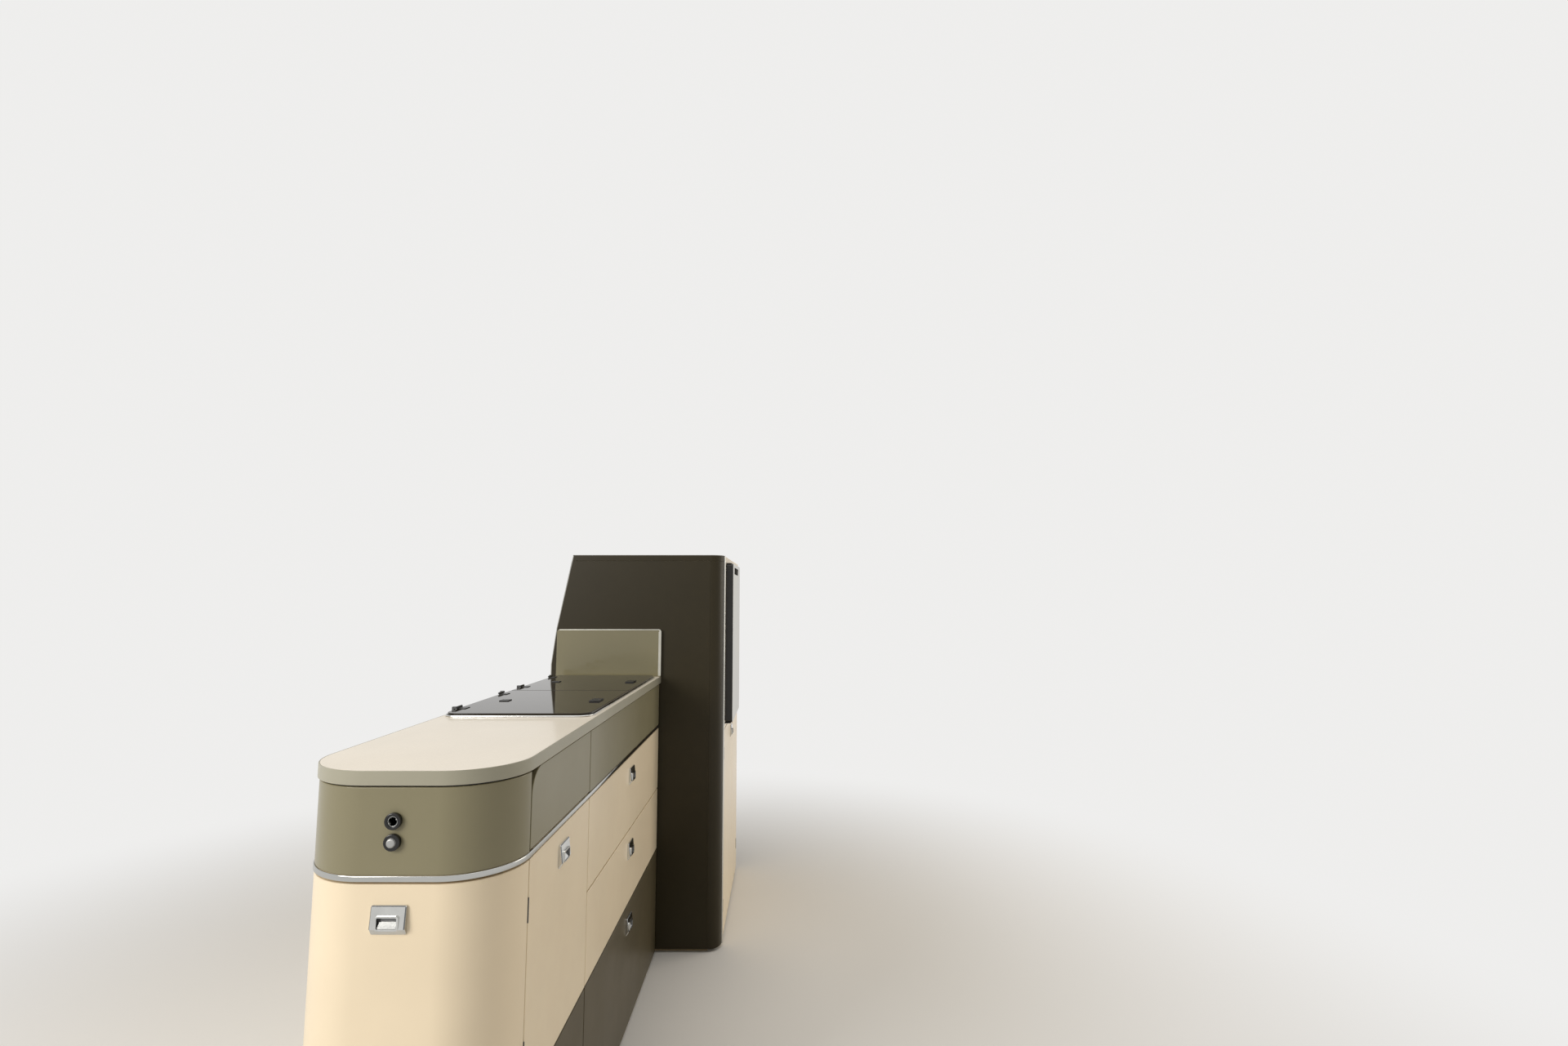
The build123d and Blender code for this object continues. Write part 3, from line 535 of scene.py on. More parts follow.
@dataclass(frozen=True)
class SpeckledTop(Laminate):
    """Worktop laminate: fine dark speckles in a cream ground."""

    speckle: float = 0.07
    speckle_scale: float = 520.0
    speckle_spread: float = 0.06
    speckle_tone: float = 0.45

    def ground(self, nodes: Dressing) -> Socket:
        """Break the ground up with speckles.

        Args:
            nodes: the material's nodes.

        Returns:
            The colour's socket.
        """
        dots = nodes.effect(Effect.MOTTLE, Scale=self.speckle_scale, Spread=self.speckle_spread)
        ground = super().ground(nodes)
        return self.stained(nodes, ground, dots, self.speckle, self.speckle_tone)


@dataclass(frozen=True)
class BrightMetal(Finish):
    """Plated or polished metal with faint smears and hairlines."""

    smears: tuple[float, float] = (0.85, 1.2)
    mottle_spread: float = 0.2
    stretch: tuple[float, float, float] = (1.0, 1.0, 30.0)
    lines: float = 0.02
    line_scale: float = 60.0

    def dress(self, nodes: Dressing) -> None:
        """Metal colour, smeared roughness and hairline bump.

        Args:
            nodes: the material's nodes.
        """
        cloud = nodes.effect(Effect.MOTTLE, Scale=self.mottle_scale, Spread=self.mottle_spread)
        nodes.feed(Metallic=1.0, Base_Color=self.tones(nodes, cloud, 1 - self.mottle, 1.0),
                   Roughness=self.smeared(nodes, cloud))
        hairs = nodes.effect(Effect.LINES, Stretch=self.stretch, Scale=self.line_scale)
        nodes.press(hairs, self.lines)


@dataclass(frozen=True)
class MirrorGlass(Finish):
    """Dark tinted glass, polished, with faint wiping marks."""

    smears: tuple[float, float] = (1.0, 2.2)
    mottle: float = 0.1
    mottle_scale: float = 4.0
    mottle_spread: float = 0.2
    wipe_stretch: tuple[float, float, float] = (1.0, 6.0, 1.0)
    wipe_scale: float = 14.0

    def dress(self, nodes: Dressing) -> None:
        """Near-black ground with a gloss that wiping marks break up.

        Args:
            nodes: the material's nodes.
        """
        wiped = nodes.effect(Effect.LINES, Stretch=self.wipe_stretch, Scale=self.wipe_scale)
        nodes.feed(Base_Color=self.ground(nodes), Roughness=self.smeared(nodes, wiped))


@dataclass(frozen=True)
class Board(Finish):
    """Birch plywood under a clear lacquer, its grain along one axis."""

    smears: tuple[float, float] = (1.0, 1.2)
    ring_stretch: tuple[float, float, float] = (0.35, 5.0, 5.0)
    stretch: tuple[float, float, float] = (1.0, 60.0, 60.0)
    grain: float = 0.07
    fibre: float = 0.3
    fibre_tone: float = 0.86
    fibre_scale: float = 9.0
    fibre_bump: float = 0.06
    cloud: float = 0.5
    cloud_tone: float = 0.93
    cloud_scale: float = 2.2
    cloud_spread: float = 0.3

    def dress(self, nodes: Dressing) -> None:
        """Rings and fibres in the colour, the roughness and the bump.

        Args:
            nodes: the material's nodes.
        """
        rings = nodes.effect(Effect.GRAIN, Stretch=self.ring_stretch, Scale=1.0)
        clouds = nodes.effect(Effect.MOTTLE, Scale=self.cloud_scale, Spread=self.cloud_spread)
        fibres = nodes.effect(Effect.LINES, Stretch=self.stretch, Scale=self.fibre_scale)
        tone = self.tones(nodes, rings, 1.0, 1 - self.grain)
        tone = self.stained(nodes, tone, clouds, self.cloud, self.cloud_tone)
        tone = self.stained(nodes, tone, fibres, self.fibre, self.fibre_tone)
        nodes.feed(Base_Color=tone, Roughness=self.smeared(nodes, fibres))
        nodes.press(fibres, self.fibre_bump)


@dataclass(frozen=True)
class PlyEdge(Finish):
    """Sawn edge of plywood, its veneers stacked along one axis."""

    smears: tuple[float, float] = (1.0, 1.25)
    across: tuple[float, float, float] = UP
    veneer: float = 1.7
    veneer_tones: tuple[float, float] = (1.06, 0.74)
    veneer_bump: float = 0.10
    torn: float = 0.25
    torn_tone: float = 0.7
    torn_scale: float = 240.0
    torn_spread: float = 0.25

    def dress(self, nodes: Dressing) -> None:
        """Light and dark veneers in turn, with torn fibres.

        Args:
            nodes: the material's nodes.
        """
        layers = nodes.effect(Effect.PLY, Across=self.across, Veneer=self.veneer * MM)
        torn = nodes.effect(Effect.MOTTLE, Scale=self.torn_scale, Spread=self.torn_spread)
        tone = self.tones(nodes, layers, *self.veneer_tones)
        nodes.feed(Base_Color=self.stained(nodes, tone, torn, self.torn, self.torn_tone),
                   Roughness=self.smeared(nodes, torn))
        nodes.press(layers, self.veneer_bump)


@dataclass(frozen=True)
class CastBlack(Finish):
    """Cast iron with a coarse skin and a little dust on top."""

    dust: float = 0.22
    dust_scale: float = 60.0
    dust_color: Color = (0.30, 0.28, 0.25)

    def ground(self, nodes: Dressing) -> Socket:
        """Lay dust on the faces that look up.

        Args:
            nodes: the material's nodes.

        Returns:
            The colour's socket.
        """
        dust = nodes.times(nodes.effect(Effect.DUST, Scale=self.dust_scale), self.dust)
        return nodes.blend(dust, super().ground(nodes), scaled(self.dust_color))


class Palette:
    """Every material of the unit, each made once."""

    BIRCH = screen_color(218, 201, 168)
    SAWN_BIRCH = screen_color(206, 184, 146)
    BLACK = screen_color(22, 21, 20)
    FINISHES: tuple[Finish, ...] = (
        Laminate(Look.CREAM_FRONT, screen_color(236, 220, 192), roughness=0.40, mottle=0.025,
                 mottle_scale=5.0, peel=0.04, peel_scale=700.0, wear_and_highlight=0.2, specular=0.35),
        Laminate(Look.GRAPHITE_FRONT, screen_color(82, 74, 55), roughness=0.40, mottle=0.05,
                 mottle_scale=6.0, peel=0.05, peel_scale=700.0, wear_and_highlight=0.5, specular=0.2, coat=0.05),
        Laminate(Look.GRAPHITE_PANEL, screen_color(47, 41, 25), roughness=0.42, mottle=0.06,
                 mottle_scale=4.0, peel=0.05, peel_scale=700.0, wear_and_highlight=0.5, specular=0.2, coat=0.03),
        Laminate(Look.GREY_FASCIA, screen_color(134, 128, 102), roughness=0.34, mottle=0.03,
                 mottle_scale=5.0, peel=0.05, peel_scale=700.0, wear_and_highlight=0.3, specular=0.25),
        SpeckledTop(Look.WORKTOP_LAMINATE, screen_color(240, 231, 215), roughness=0.40, mottle=0.02,
                    mottle_scale=6.0, peel=0.10, peel_scale=620.0, specular=0.4, coat=0.3),
        Laminate(Look.WORKTOP_EDGE, screen_color(160, 157, 140), roughness=0.42, mottle=0.03,
                 mottle_scale=12.0, peel=0.06, peel_scale=800.0, wear_and_highlight=0.3, specular=0.35),
        Board(Look.CARCASS_BOARD, BIRCH, roughness=0.48),
        Board(Look.CARCASS_UPRIGHT, BIRCH, roughness=0.48, ring_stretch=(5.0, 5.0, 0.35),
              stretch=(60.0, 60.0, 1.0)),
        PlyEdge(Look.PLY_EDGE_LEVEL, SAWN_BIRCH, roughness=0.55),
        PlyEdge(Look.PLY_EDGE_LENGTH, SAWN_BIRCH, roughness=0.55, across=(1.0, 0.0, 0.0)),
        PlyEdge(Look.PLY_EDGE_DEPTH, SAWN_BIRCH, roughness=0.55, across=(0.0, 1.0, 0.0)),
        BrightMetal(Look.BRIGHT_TRIM, (0.52, 0.52, 0.50), roughness=0.08, mottle=0.10,
                    mottle_scale=7.0),
        BrightMetal(Look.LATCH_METAL, (0.66, 0.66, 0.64), roughness=0.10, mottle=0.12,
                    mottle_scale=30.0),
        BrightMetal(Look.LATCH_PLATE, (0.19, 0.195, 0.195), roughness=0.24, mottle=0.16,
                    mottle_scale=26.0, stretch=(30.0, 30.0, 1.0), lines=0.06),
        # Painted shade: dark metal laid on the latch recesses' floors and walls.
        BrightMetal(Look.LATCH_RECESS_SHADE, (0.16, 0.16, 0.16), roughness=0.30, mottle=0.12,
                    mottle_scale=30.0),
        BrightMetal(Look.BRUSHED_STEEL, (0.56, 0.56, 0.55), roughness=0.26, mottle=0.08,
                    mottle_scale=12.0, stretch=(1.0, 40.0, 40.0), lines=0.10),
        BrightMetal(Look.DARK_STEEL, (0.085, 0.085, 0.085), roughness=0.34, mottle=0.14,
                    mottle_scale=24.0, lines=0.05),
        BrightMetal(Look.ZINC_STEEL, (0.52, 0.53, 0.54), roughness=0.34, mottle=0.14,
                    mottle_scale=24.0, lines=0.05),
        BrightMetal(Look.EDGE_PROFILE, (0.62, 0.61, 0.57), roughness=0.28, mottle=0.06,
                    stretch=(40.0, 40.0, 1.0), lines=0.05),
        BrightMetal(Look.BURNER_ALLOY, (0.40, 0.40, 0.39), roughness=0.42, mottle=0.16,
                    mottle_scale=30.0, lines=0.05),
        BrightMetal(Look.SHELF_WIRE, (0.66, 0.66, 0.66), roughness=0.20, mottle=0.08,
                    mottle_scale=30.0),
        BrightMetal(Look.PALE_PROFILE, (0.50, 0.49, 0.43), roughness=0.34, mottle=0.06, lines=0.03),
        BrightMetal(Look.FRIDGE_FACE, (0.55, 0.545, 0.52), roughness=0.44, mottle=0.03,
                    mottle_scale=6.0, stretch=(30.0, 1.0, 1.0), lines=0.05),
        MirrorGlass(Look.LID_GLASS, (0.022, 0.017, 0.010), roughness=0.03, specular=0.2),
        Laminate(Look.SPLASH_GLOSS, screen_color(130, 124, 96), roughness=0.20, mottle=0.03,
                 mottle_scale=4.0, peel=0.01, peel_scale=500.0, specular=0.35, coat=0.5,
                 coat_roughness=0.05),
        CastBlack(Look.CAST_BLACK, screen_color(26, 25, 24), roughness=0.5, mottle=0.12,
                  mottle_scale=40.0, peel=0.5),
        Finish(Look.BLACK_PLASTIC, BLACK, roughness=0.38, mottle=0.10, mottle_scale=30.0, peel=0.14,
               peel_scale=1400.0, wear_and_highlight=0.3),
        Finish(Look.GLOSS_BLACK, screen_color(20, 19, 18), roughness=0.16, mottle=0.10,
               mottle_scale=30.0, peel=0.04, peel_scale=1400.0, wear_and_highlight=0.3),
        Finish(Look.ENAMEL_BLACK, BLACK, roughness=0.22, mottle=0.10, mottle_scale=30.0, peel=0.10,
               peel_scale=700.0, wear_and_highlight=0.3),
        Finish(Look.SEAL_GREY, screen_color(172, 172, 168), roughness=0.55, mottle=0.05,
               mottle_scale=20.0, peel=0.12, peel_scale=1200.0),
        Finish(Look.CERAMIC_WHITE, screen_color(226, 222, 212), roughness=0.22, mottle=0.02,
               mottle_scale=20.0, peel=0.02, peel_scale=1200.0),
        Finish(Look.BIN_PLASTIC, screen_color(206, 214, 218), roughness=0.24, mottle=0.02,
               mottle_scale=12.0),
        Finish(Look.FRIDGE_LINER, screen_color(228, 231, 231), roughness=0.32, mottle=0.015,
               mottle_scale=8.0, peel=0.08),
        Finish(Look.DARK_GRIP, screen_color(120, 120, 116), roughness=0.42, mottle=0.08,
               mottle_scale=18.0, peel=0.10, peel_scale=1100.0),
        Finish(Look.MAT_GREY, screen_color(92, 94, 95), roughness=0.75, mottle=0.10,
               mottle_scale=30.0, peel=0.30, peel_scale=1200.0),
    )

    def __init__(self) -> None:
        """Build every material."""
        effects = Effects()
        self._made = {finish.look: finish.material(effects) for finish in self.FINISHES}

    def __getitem__(self, look: Look) -> bpy.types.Material:
        """The material of a finish."""
        return self._made[look]


class GeometryTree(NodeBoard):
    """A Geometry Nodes tree with named inputs, which leaves a plain mesh on an object."""

    def __init__(self, name: str, **inputs: str) -> None:
        """Start the tree.

        Args:
            name: the tree's name.
            inputs: input name, with _ for a space, to its socket type.
        """
        super().__init__(bpy.data.node_groups.new(name, "GeometryNodeTree"))
        self._socket("Geometry", "OUTPUT", "Geometry")
        kinds = {"Geometry": "Geometry", **inputs, "Material": "Material"}
        self._keys = {key: self._socket(key.replace("_", " "), "INPUT", kind)
                      for key, kind in kinds.items()}
        self.given = self.add("NodeGroupInput").outputs

    def _socket(self, name: str, way: str, kind: str) -> str:
        """Add a socket to the tree's face and give its identifier."""
        kind = "NodeSocket" + kind
        return self.tree.interface.new_socket(name=name, in_out=way, socket_type=kind).identifier

    def line(self, count: Socket, offset: object, start: object = ORIGIN) -> Socket:
        """Points in a row."""
        values = {"Count": count, "Start Location": start, "Offset": offset}
        return self.add("GeometryNodeMeshLine", values, mode="OFFSET").outputs[0]

    def copies(self, points: Socket, item: Socket, rotation: object = ORIGIN) -> Socket:
        """An item on every point."""
        values = {"Points": points, "Instance": item, "Rotation": rotation}
        return self.add("GeometryNodeInstanceOnPoints", values).outputs[0]

    def curve(self) -> Socket:
        """The edges of the tree's geometry as a curve."""
        return self.add("GeometryNodeMeshToCurve", {"Mesh": self.given["Geometry"]}).outputs[0]

    def swept(self, path: Socket, section: Socket) -> Socket:
        """Smooth skin of a section drawn along a path, with its ends closed.

        Args:
            path: the curve to follow.
            section: the closed curve that is drawn along it.

        Returns:
            The skin's socket.
        """
        values = {"Curve": path, "Profile Curve": section, "Fill Caps": True}
        skin = self.add("GeometryNodeCurveToMesh", values).outputs[0]
        return self.add("GeometryNodeSetShadeSmooth", {"Geometry": skin}).outputs[0]

    def end(self, geometry: Socket) -> None:
        """Close the tree with Realize Instances and Set Material.

        Args:
            geometry: what the tree has drawn.
        """
        real = self.add("GeometryNodeRealizeInstances", {"Geometry": geometry}).outputs[0]
        values = {"Geometry": real, "Material": self.given["Material"]}
        dressed = self.add("GeometryNodeSetMaterial", values).outputs[0]
        self.add("NodeGroupOutput", {"Geometry": dressed})

    def apply(self, obj: Piece, material: bpy.types.Material, **values: object) -> Piece:
        """Run the tree on an object and leave the result as its plain mesh.

        Args:
            obj: the object whose mesh is the tree's geometry.
            material: what the result is made of.
            values: the tree's inputs, with _ for a space in their names.

        Returns:
            The same object.
        """
        modifier = obj.modifiers.new(self.tree.name, "NODES")
        modifier.node_group = self.tree
        for key, value in {"Material": material, **values}.items():
            modifier[self._keys[key]] = value
        return settle(obj)


def settle(obj: Piece) -> Piece:
    """Turn an object's modifiers into its plain mesh and remove them.

    Args:
        obj: the object.

    Returns:
        The same object.
    """
    bpy.context.view_layer.update()
    graph = bpy.context.evaluated_depsgraph_get()
    mesh = bpy.data.meshes.new_from_object(obj.evaluated_get(graph))
    obj.modifiers.clear()
    obj.data = mesh
    mesh.name = obj.name
    return obj


class RowTree(GeometryTree):
    """Repeats a piece in rows: steps along one line, and rows along another."""

    def __init__(self) -> None:
        """Build the tree."""
        super().__init__("repeat_in_rows", Start="Vector", Step="Vector", Count="Int",
                         Row_Step="Vector", Rows="Int")
        given = self.given
        line = self.line(given["Count"], given["Step"], given["Start"])
        grid = self.copies(line, self.line(given["Rows"], given["Row Step"]))
        places = self.add("GeometryNodeRealizeInstances", {"Geometry": grid}).outputs[0]
        self.end(self.copies(places, given["Geometry"]))


class RingTree(GeometryTree):
    """Repeats a piece round an upright axis through a centre."""

    def __init__(self) -> None:
        """Build the tree."""
        super().__init__("repeat_in_ring", Centre="Vector", Count="Int")
        given = self.given
        places = self.line(given["Count"], ORIGIN, given["Centre"])
        number = self.add("GeometryNodeInputIndex").outputs[0]
        turn = self.times(self.compute("DIVIDE", number, given["Count"]), math.tau)
        angles = self.add("ShaderNodeCombineXYZ", {"Z": turn}).outputs[0]
        self.end(self.copies(places, given["Geometry"], angles))


class StripTree(GeometryTree):
    """Draws a rounded strip along a path that lies level."""

    def __init__(self) -> None:
        """Build the tree."""
        super().__init__("strip_along_path", Width="Float", Height="Float", Corner="Float")
        given = self.given
        path = self.add("GeometryNodeSetCurveNormal", {"Curve": self.curve()}, mode="Z_UP")
        oblong = self.add("GeometryNodeCurvePrimitiveQuadrilateral",
                          {"Width": given["Width"], "Height": given["Height"]})
        corners = {"Curve": oblong.outputs[0], "Radius": given["Corner"], "Count": 6}
        section = self.add("GeometryNodeFilletCurve", corners, mode="POLY")
        self.end(self.swept(path.outputs[0], section.outputs[0]))


class WireTree(GeometryTree):
    """Makes round wire of the edges of a mesh."""

    def __init__(self) -> None:
        """Build the tree."""
        super().__init__("wire_from_edges", Radius="Float", Sides="Int")
        section = self.add("GeometryNodeCurvePrimitiveCircle",
                           {"Resolution": self.given["Sides"], "Radius": self.given["Radius"]})
        self.end(self.swept(self.curve(), section.outputs[0]))


def mesh_from(name: str, points: Sequence[Point], faces: Sequence[tuple[int, ...]],
              edges: Sequence[tuple[int, int]] = ()) -> Mesh:
    """Mesh from points in millimetres.

    Args:
        name: the mesh's name.
        points: corners, in millimetres.
        faces: corner numbers of each face.
        edges: corner numbers of loose edges.

    Returns:
        The mesh, in metres, its faces pointing outwards where it is closed.
    """
    mesh = bpy.data.meshes.new(name)
    mesh.from_pydata([Vector(point) * MM for point in points], edges, faces)
    if faces:
        form = bmesh.new()
        form.from_mesh(mesh)
        bmesh.ops.remove_doubles(form, verts=form.verts, dist=MERGE_DISTANCE)
        bmesh.ops.recalc_face_normals(form, faces=form.faces)
        form.to_mesh(mesh)
        form.free()
    return mesh


def path_mesh(name: str, runs: list[list[Point]]) -> Mesh:
    """Mesh of loose edges along runs of points.

    Args:
        name: the mesh's name.
        runs: the points of each run in turn, in millimetres.

    Returns:
        The mesh, in metres.
    """
    points: list[Point] = []
    edges: list[tuple[int, int]] = []
    for run in runs:
        edges += [(len(points) + i, len(points) + i + 1) for i in range(len(run) - 1)]
        points += run
    return mesh_from(name, points, (), edges)


def skin_faces(rows: int, sides: int) -> list[tuple[int, ...]]:
    """Faces between each closed row of corners and the next.

    Args:
        rows: how many rows of corners there are.
        sides: how many corners a row has.

    Returns:
        The faces' corner numbers.
    """
    faces = []
    for first in range(0, (rows - 1) * sides, sides):
        for side in range(sides):
            low, low_next = first + side, first + (side + 1) % sides
            faces.append((low, low_next, low_next + sides, low + sides))
    return faces


def ringed(rings: list[tuple[list[float], float]]) -> list[Point]:
    """Points of rings that stand over one another round the upright axis.

    Args:
        rings: how far from the axis each corner of a ring is, and the ring's height.

    Returns:
        The points, ring after ring.
    """
    points: list[Point] = []
    for reaches, height in rings:
        for side, reach in enumerate(reaches):
            angle = math.tau * side / len(reaches)
            points.append((reach * math.cos(angle), reach * math.sin(angle), height))
    return points


def lathe(name: str, profile: Profile, seat: Point, out: Point = UP, sides: int = 48) -> Mesh:
    """Mesh of a profile turned round an axis.

    Args:
        name: the mesh's name.
        profile: radius and reach along the axis of each corner, in millimetres; a profile that
            ends where it starts gives a ring.
        seat: where the axis starts, in millimetres.
        out: the way that the axis points.
        sides: how many sides the round has.

    Returns:
        The mesh.
    """
    turn = Vector(UP).rotation_difference(Vector(out))
    points = ringed([([radius] * sides, reach) for radius, reach in profile])
    placed = [tuple(turn @ Vector(point) + Vector(seat)) for point in points]
    return mesh_from(name, placed, skin_faces(len(profile), sides))


def stepped(radius: float, steps: Pairs, top: float) -> Profile:
    """Profile of a round body, from the axis below it out to its radius and back to the axis.

    Args:
        radius: the body's radius.
        steps: how far in from the radius, and the height, of each corner from below.
        top: height of the body on the axis.

    Returns:
        The profile.
    """
    corners = tuple((radius - inset, height) for inset, height in steps)
    return (0.0, steps[0][1]), *corners, (0.0, top)


def lofted(name: str, stations: list[list[Point]]) -> Mesh:
    """Mesh of a closed skin drawn through closed sections of the same count.

    Args:
        name: the mesh's name.
        stations: the corners of each section in turn, in millimetres.

    Returns:
        The mesh, with both ends closed.
    """
    size = len(stations[0])
    points = [corner for section in stations for corner in section]
    faces = skin_faces(len(stations), size)
    faces += [tuple(range(size)), tuple(range(len(points) - size, len(points)))]
    return mesh_from(name, points, faces)


def joined(name: str, meshes: list[Mesh]) -> Mesh:
    """One mesh of several.

    Args:
        name: the mesh's name.
        meshes: the meshes, which are used up.

    Returns:
        The mesh.
    """
    form = bmesh.new()
    for mesh in meshes:
        form.from_mesh(mesh)
        bpy.data.meshes.remove(mesh)
    whole = bpy.data.meshes.new(name)
    form.to_mesh(whole)
    form.free()
    return whole


def box_mesh(name: str, low: Point, high: Point) -> Mesh:
    """Small block, such as the repeated item of a tree.

    Args:
        name: the mesh's name.
        low, high: its opposite corners, in millimetres.

    Returns:
        The mesh.
    """
    corners = [(x, y, z) for x in (low[0], high[0]) for y in (low[1], high[1])
               for z in (low[2], high[2])]
    return mesh_from(name, corners, BOX_FACES)


@dataclass(frozen=True)
class Tag:
    """What a piece is called, what it is made of and where it belongs.

    The slot is the record's material slot, the body is what the piece moves with, and the
    replaced nodes are those that it stands for.
    """

    name: str
    finish: Look
    slot: str
    body: str = FIXED_BODY
    replaced: tuple[str, ...] = ()


@dataclass(frozen=True)
class Coat:
    """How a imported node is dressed: its finish, and the width and steps of its rounded edges."""

    node: str
    finish: Look
    edge: float = 0.8
    steps: int = 3


@dataclass(frozen=True)
class Places:
    """Where a repeated item stands, in millimetres: a line of places, and rows of the line."""

    start: Point
    step: Point = ORIGIN
    count: int = 1
    row_step: Point = ORIGIN
    rows: int = 1

    def inputs(self) -> dict[str, object]:
        """The places as inputs of the tree that repeats in rows."""
        return {"Start": Vector(self.start) * MM, "Step": Vector(self.step) * MM,
                "Count": self.count, "Row_Step": Vector(self.row_step) * MM, "Rows": self.rows}


class Workshop:
    """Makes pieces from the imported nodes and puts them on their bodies."""

    sharp_angle = 30.0  # degrees, over which an edge is rounded
    flat_angle = 0.5  # degrees, under which neighbouring faces become one
    weld_distance = 0.00002  # metres
    wire_sides = 12

    def __init__(self, frame: dict, palette: Palette) -> None:
        """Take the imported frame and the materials, and build the repeating trees.

        Args:
            frame: the frame as it was loaded.
            palette: the unit's materials.
        """
        self.nodes = frame["nodes"]
        self.slots = {part["node"]: part["material_slot"] for part in frame["record"]["subparts"]}
        self.palette = palette
        self.made: list[str] = []
        self.rows, self.ring, self.strip, self.wire = RowTree(), RingTree(), StripTree(), WireTree()

    def box(self, node: str) -> tuple[Vector, Vector]:
        """Lowest and highest corner of a node, in millimetres."""
        low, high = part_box(node)
        return Vector(low) / MM, Vector(high) / MM

    def give(self, obj: Piece, tag: Tag) -> Piece:
        """Put an object on its body as a piece of the unit.

        Args:
            obj: the object.
            tag: its body and the nodes that it stands for.

        Returns:
            The same object.
        """
        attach(obj, tag.body)
        if tag.replaced:
            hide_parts(*tag.replaced)
        self.made.append(obj.name)
        return obj

    def place(self, mesh: Mesh, tag: Tag) -> Piece:
        """Make a finished piece of a mesh.

        Args:
            mesh: the mesh, in metres and in place.
            tag: the piece's name, finish and place.

        Returns:
            The piece.
        """
        mesh.materials.clear()
        mesh.materials.append(self.palette[tag.finish])
        return self.give(linked(tag.name, mesh), tag)

    def grown(self, tree: GeometryTree, mesh: Mesh, tag: Tag, **values: object) -> Piece:
        """Make a piece by running a tree on a mesh.

        Args:
            tree: the tree.
            mesh: the tree's geometry.
            tag: the piece's name, finish and place.
            values: the tree's inputs, with _ for a space in their names.

        Returns:
            The piece.
        """
        obj = tree.apply(linked(tag.name, mesh), self.palette[tag.finish], **values)
        return self.give(obj, tag)

    def rounded(self, obj: Piece, width: float, steps: int = 2) -> Piece:
        """Round an object's sharp edges and smooth its curved faces.

        Args:
            obj: the object.
            width: the rounding's width, in millimetres.
            steps: how many faces the rounding has.

        Returns:
            The same object, with a plain mesh.
        """
        obj.data.shade_smooth()
        bevel = obj.modifiers.new("rounding", "BEVEL")
        bevel.width = width * MM
        bevel.segments = steps
        bevel.limit_method = "ANGLE"
        bevel.angle_limit = math.radians(self.sharp_angle)
        bevel.harden_normals = True
        bevel.use_clamp_overlap = True
        return settle(obj)

    def assembled(self, meshes: list[Mesh], tag: Tag, edge: float) -> Piece:
        """Join meshes into one piece with rounded edges."""
        return self.rounded(self.place(joined(tag.name, meshes), tag), edge)

    def coated(self, *coats: Coat) -> Piece:
        """Copy nodes with their edges rounded as a made board's or moulding's are.

        Args:
            coats: the nodes to stand for, and how each is dressed.

        Returns:
            The last piece.
        """
        for coat in coats:
            node = self.nodes[coat.node]
            tag = Tag(coat.node + "_piece", coat.finish, self.slots[coat.node], node["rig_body"],
                      (coat.node,))
            mesh = self._merged(node.data, tag.name)
            piece = self.rounded(self.place(mesh, tag), coat.edge, coat.steps)
        return piece

    def _merged(self, packed: Mesh, name: str) -> Mesh:
        """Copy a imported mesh, its loose triangles joined and its flat faces whole.

        Args:
            packed: the node's mesh, which stays as it is.
            name: the copy's name.

        Returns:
            The copy.
        """
        form = bmesh.new()
        form.from_mesh(packed)
        bmesh.ops.remove_doubles(form, verts=form.verts, dist=self.weld_distance)
        bmesh.ops.dissolve_limit(form, angle_limit=math.radians(self.flat_angle),
                                 verts=form.verts, edges=form.edges)
        mesh = bpy.data.meshes.new(name)
        form.to_mesh(mesh)
        form.free()
        if "custom_normal" in mesh.attributes:
            mesh.attributes.remove(mesh.attributes["custom_normal"])
        return mesh

    def tint(self, obj: Piece, finish: Look, test: FaceTest) -> Piece:
        """Give some faces of a piece another finish.

        Args:
            obj: the piece.
            finish: the other finish.
            test: whether a face takes it, from its centre in millimetres and its normal.

        Returns:
            The same piece.
        """
        obj.data.materials.append(self.palette[finish])
        spot = len(obj.data.materials) - 1
        for face in obj.data.polygons:
            if test(face.center / MM, face.normal):
                face.material_index = spot
        return obj

    def wires(self, runs: list[list[Point]], radius: float, tag: Tag) -> Piece:
        """Round wire through runs of points, in millimetres."""
        return self.grown(self.wire, path_mesh(tag.name, runs), tag, Radius=radius * MM,
                          Sides=self.wire_sides)

    def screws(self, name: str, radius: float, out: Point, places: Places,
               body: str = FIXED_BODY) -> Piece:
        """Rows of cross-head screws.

        Args:
            name: the piece's name.
            radius: the heads' radius, in millimetres.
            out: the way that the heads face.
            places: where the heads stand.
            body: the body that carries them.

        Returns:
            The piece.
        """
        mesh = self._screw_head(radius)
        turn = Vector(UP).rotation_difference(Vector(out))
        mesh.transform(turn.to_matrix().to_4x4())
        tag = Tag(name, Look.ZINC_STEEL, "steel", body)
        return self.grown(self.rows, mesh, tag, **places.inputs())

    @staticmethod
    def _screw_head(radius: float) -> Mesh:
        """Domed screw head with a cross recess.

        Args:
            radius: the head's radius, in millimetres.

        Returns:
            The head, looking up, with its seat at the origin.
        """
        # Reaches from the axis and heights are shares of the radius.
        sides = 16
        dome = ((0.0, 0.0), (1.0, 0.0), (1.0, 0.15), (0.8, 0.42), (0.45, 0.52))
        cross = [0.42 if side % 4 == 0 else 0.13 for side in range(sides)]
        rings = [([share] * sides, height) for share, height in dome]
        rings += [(cross, 0.46), ([0.8 * share for share in cross], 0.16)]
        points = ringed([([share * radius for share in shares], height * radius)
                         for shares, height in rings])
        floor = tuple(range(len(points) - sides, len(points)))
        return mesh_from("screw_head", points, skin_faces(len(rings), sides) + [floor])


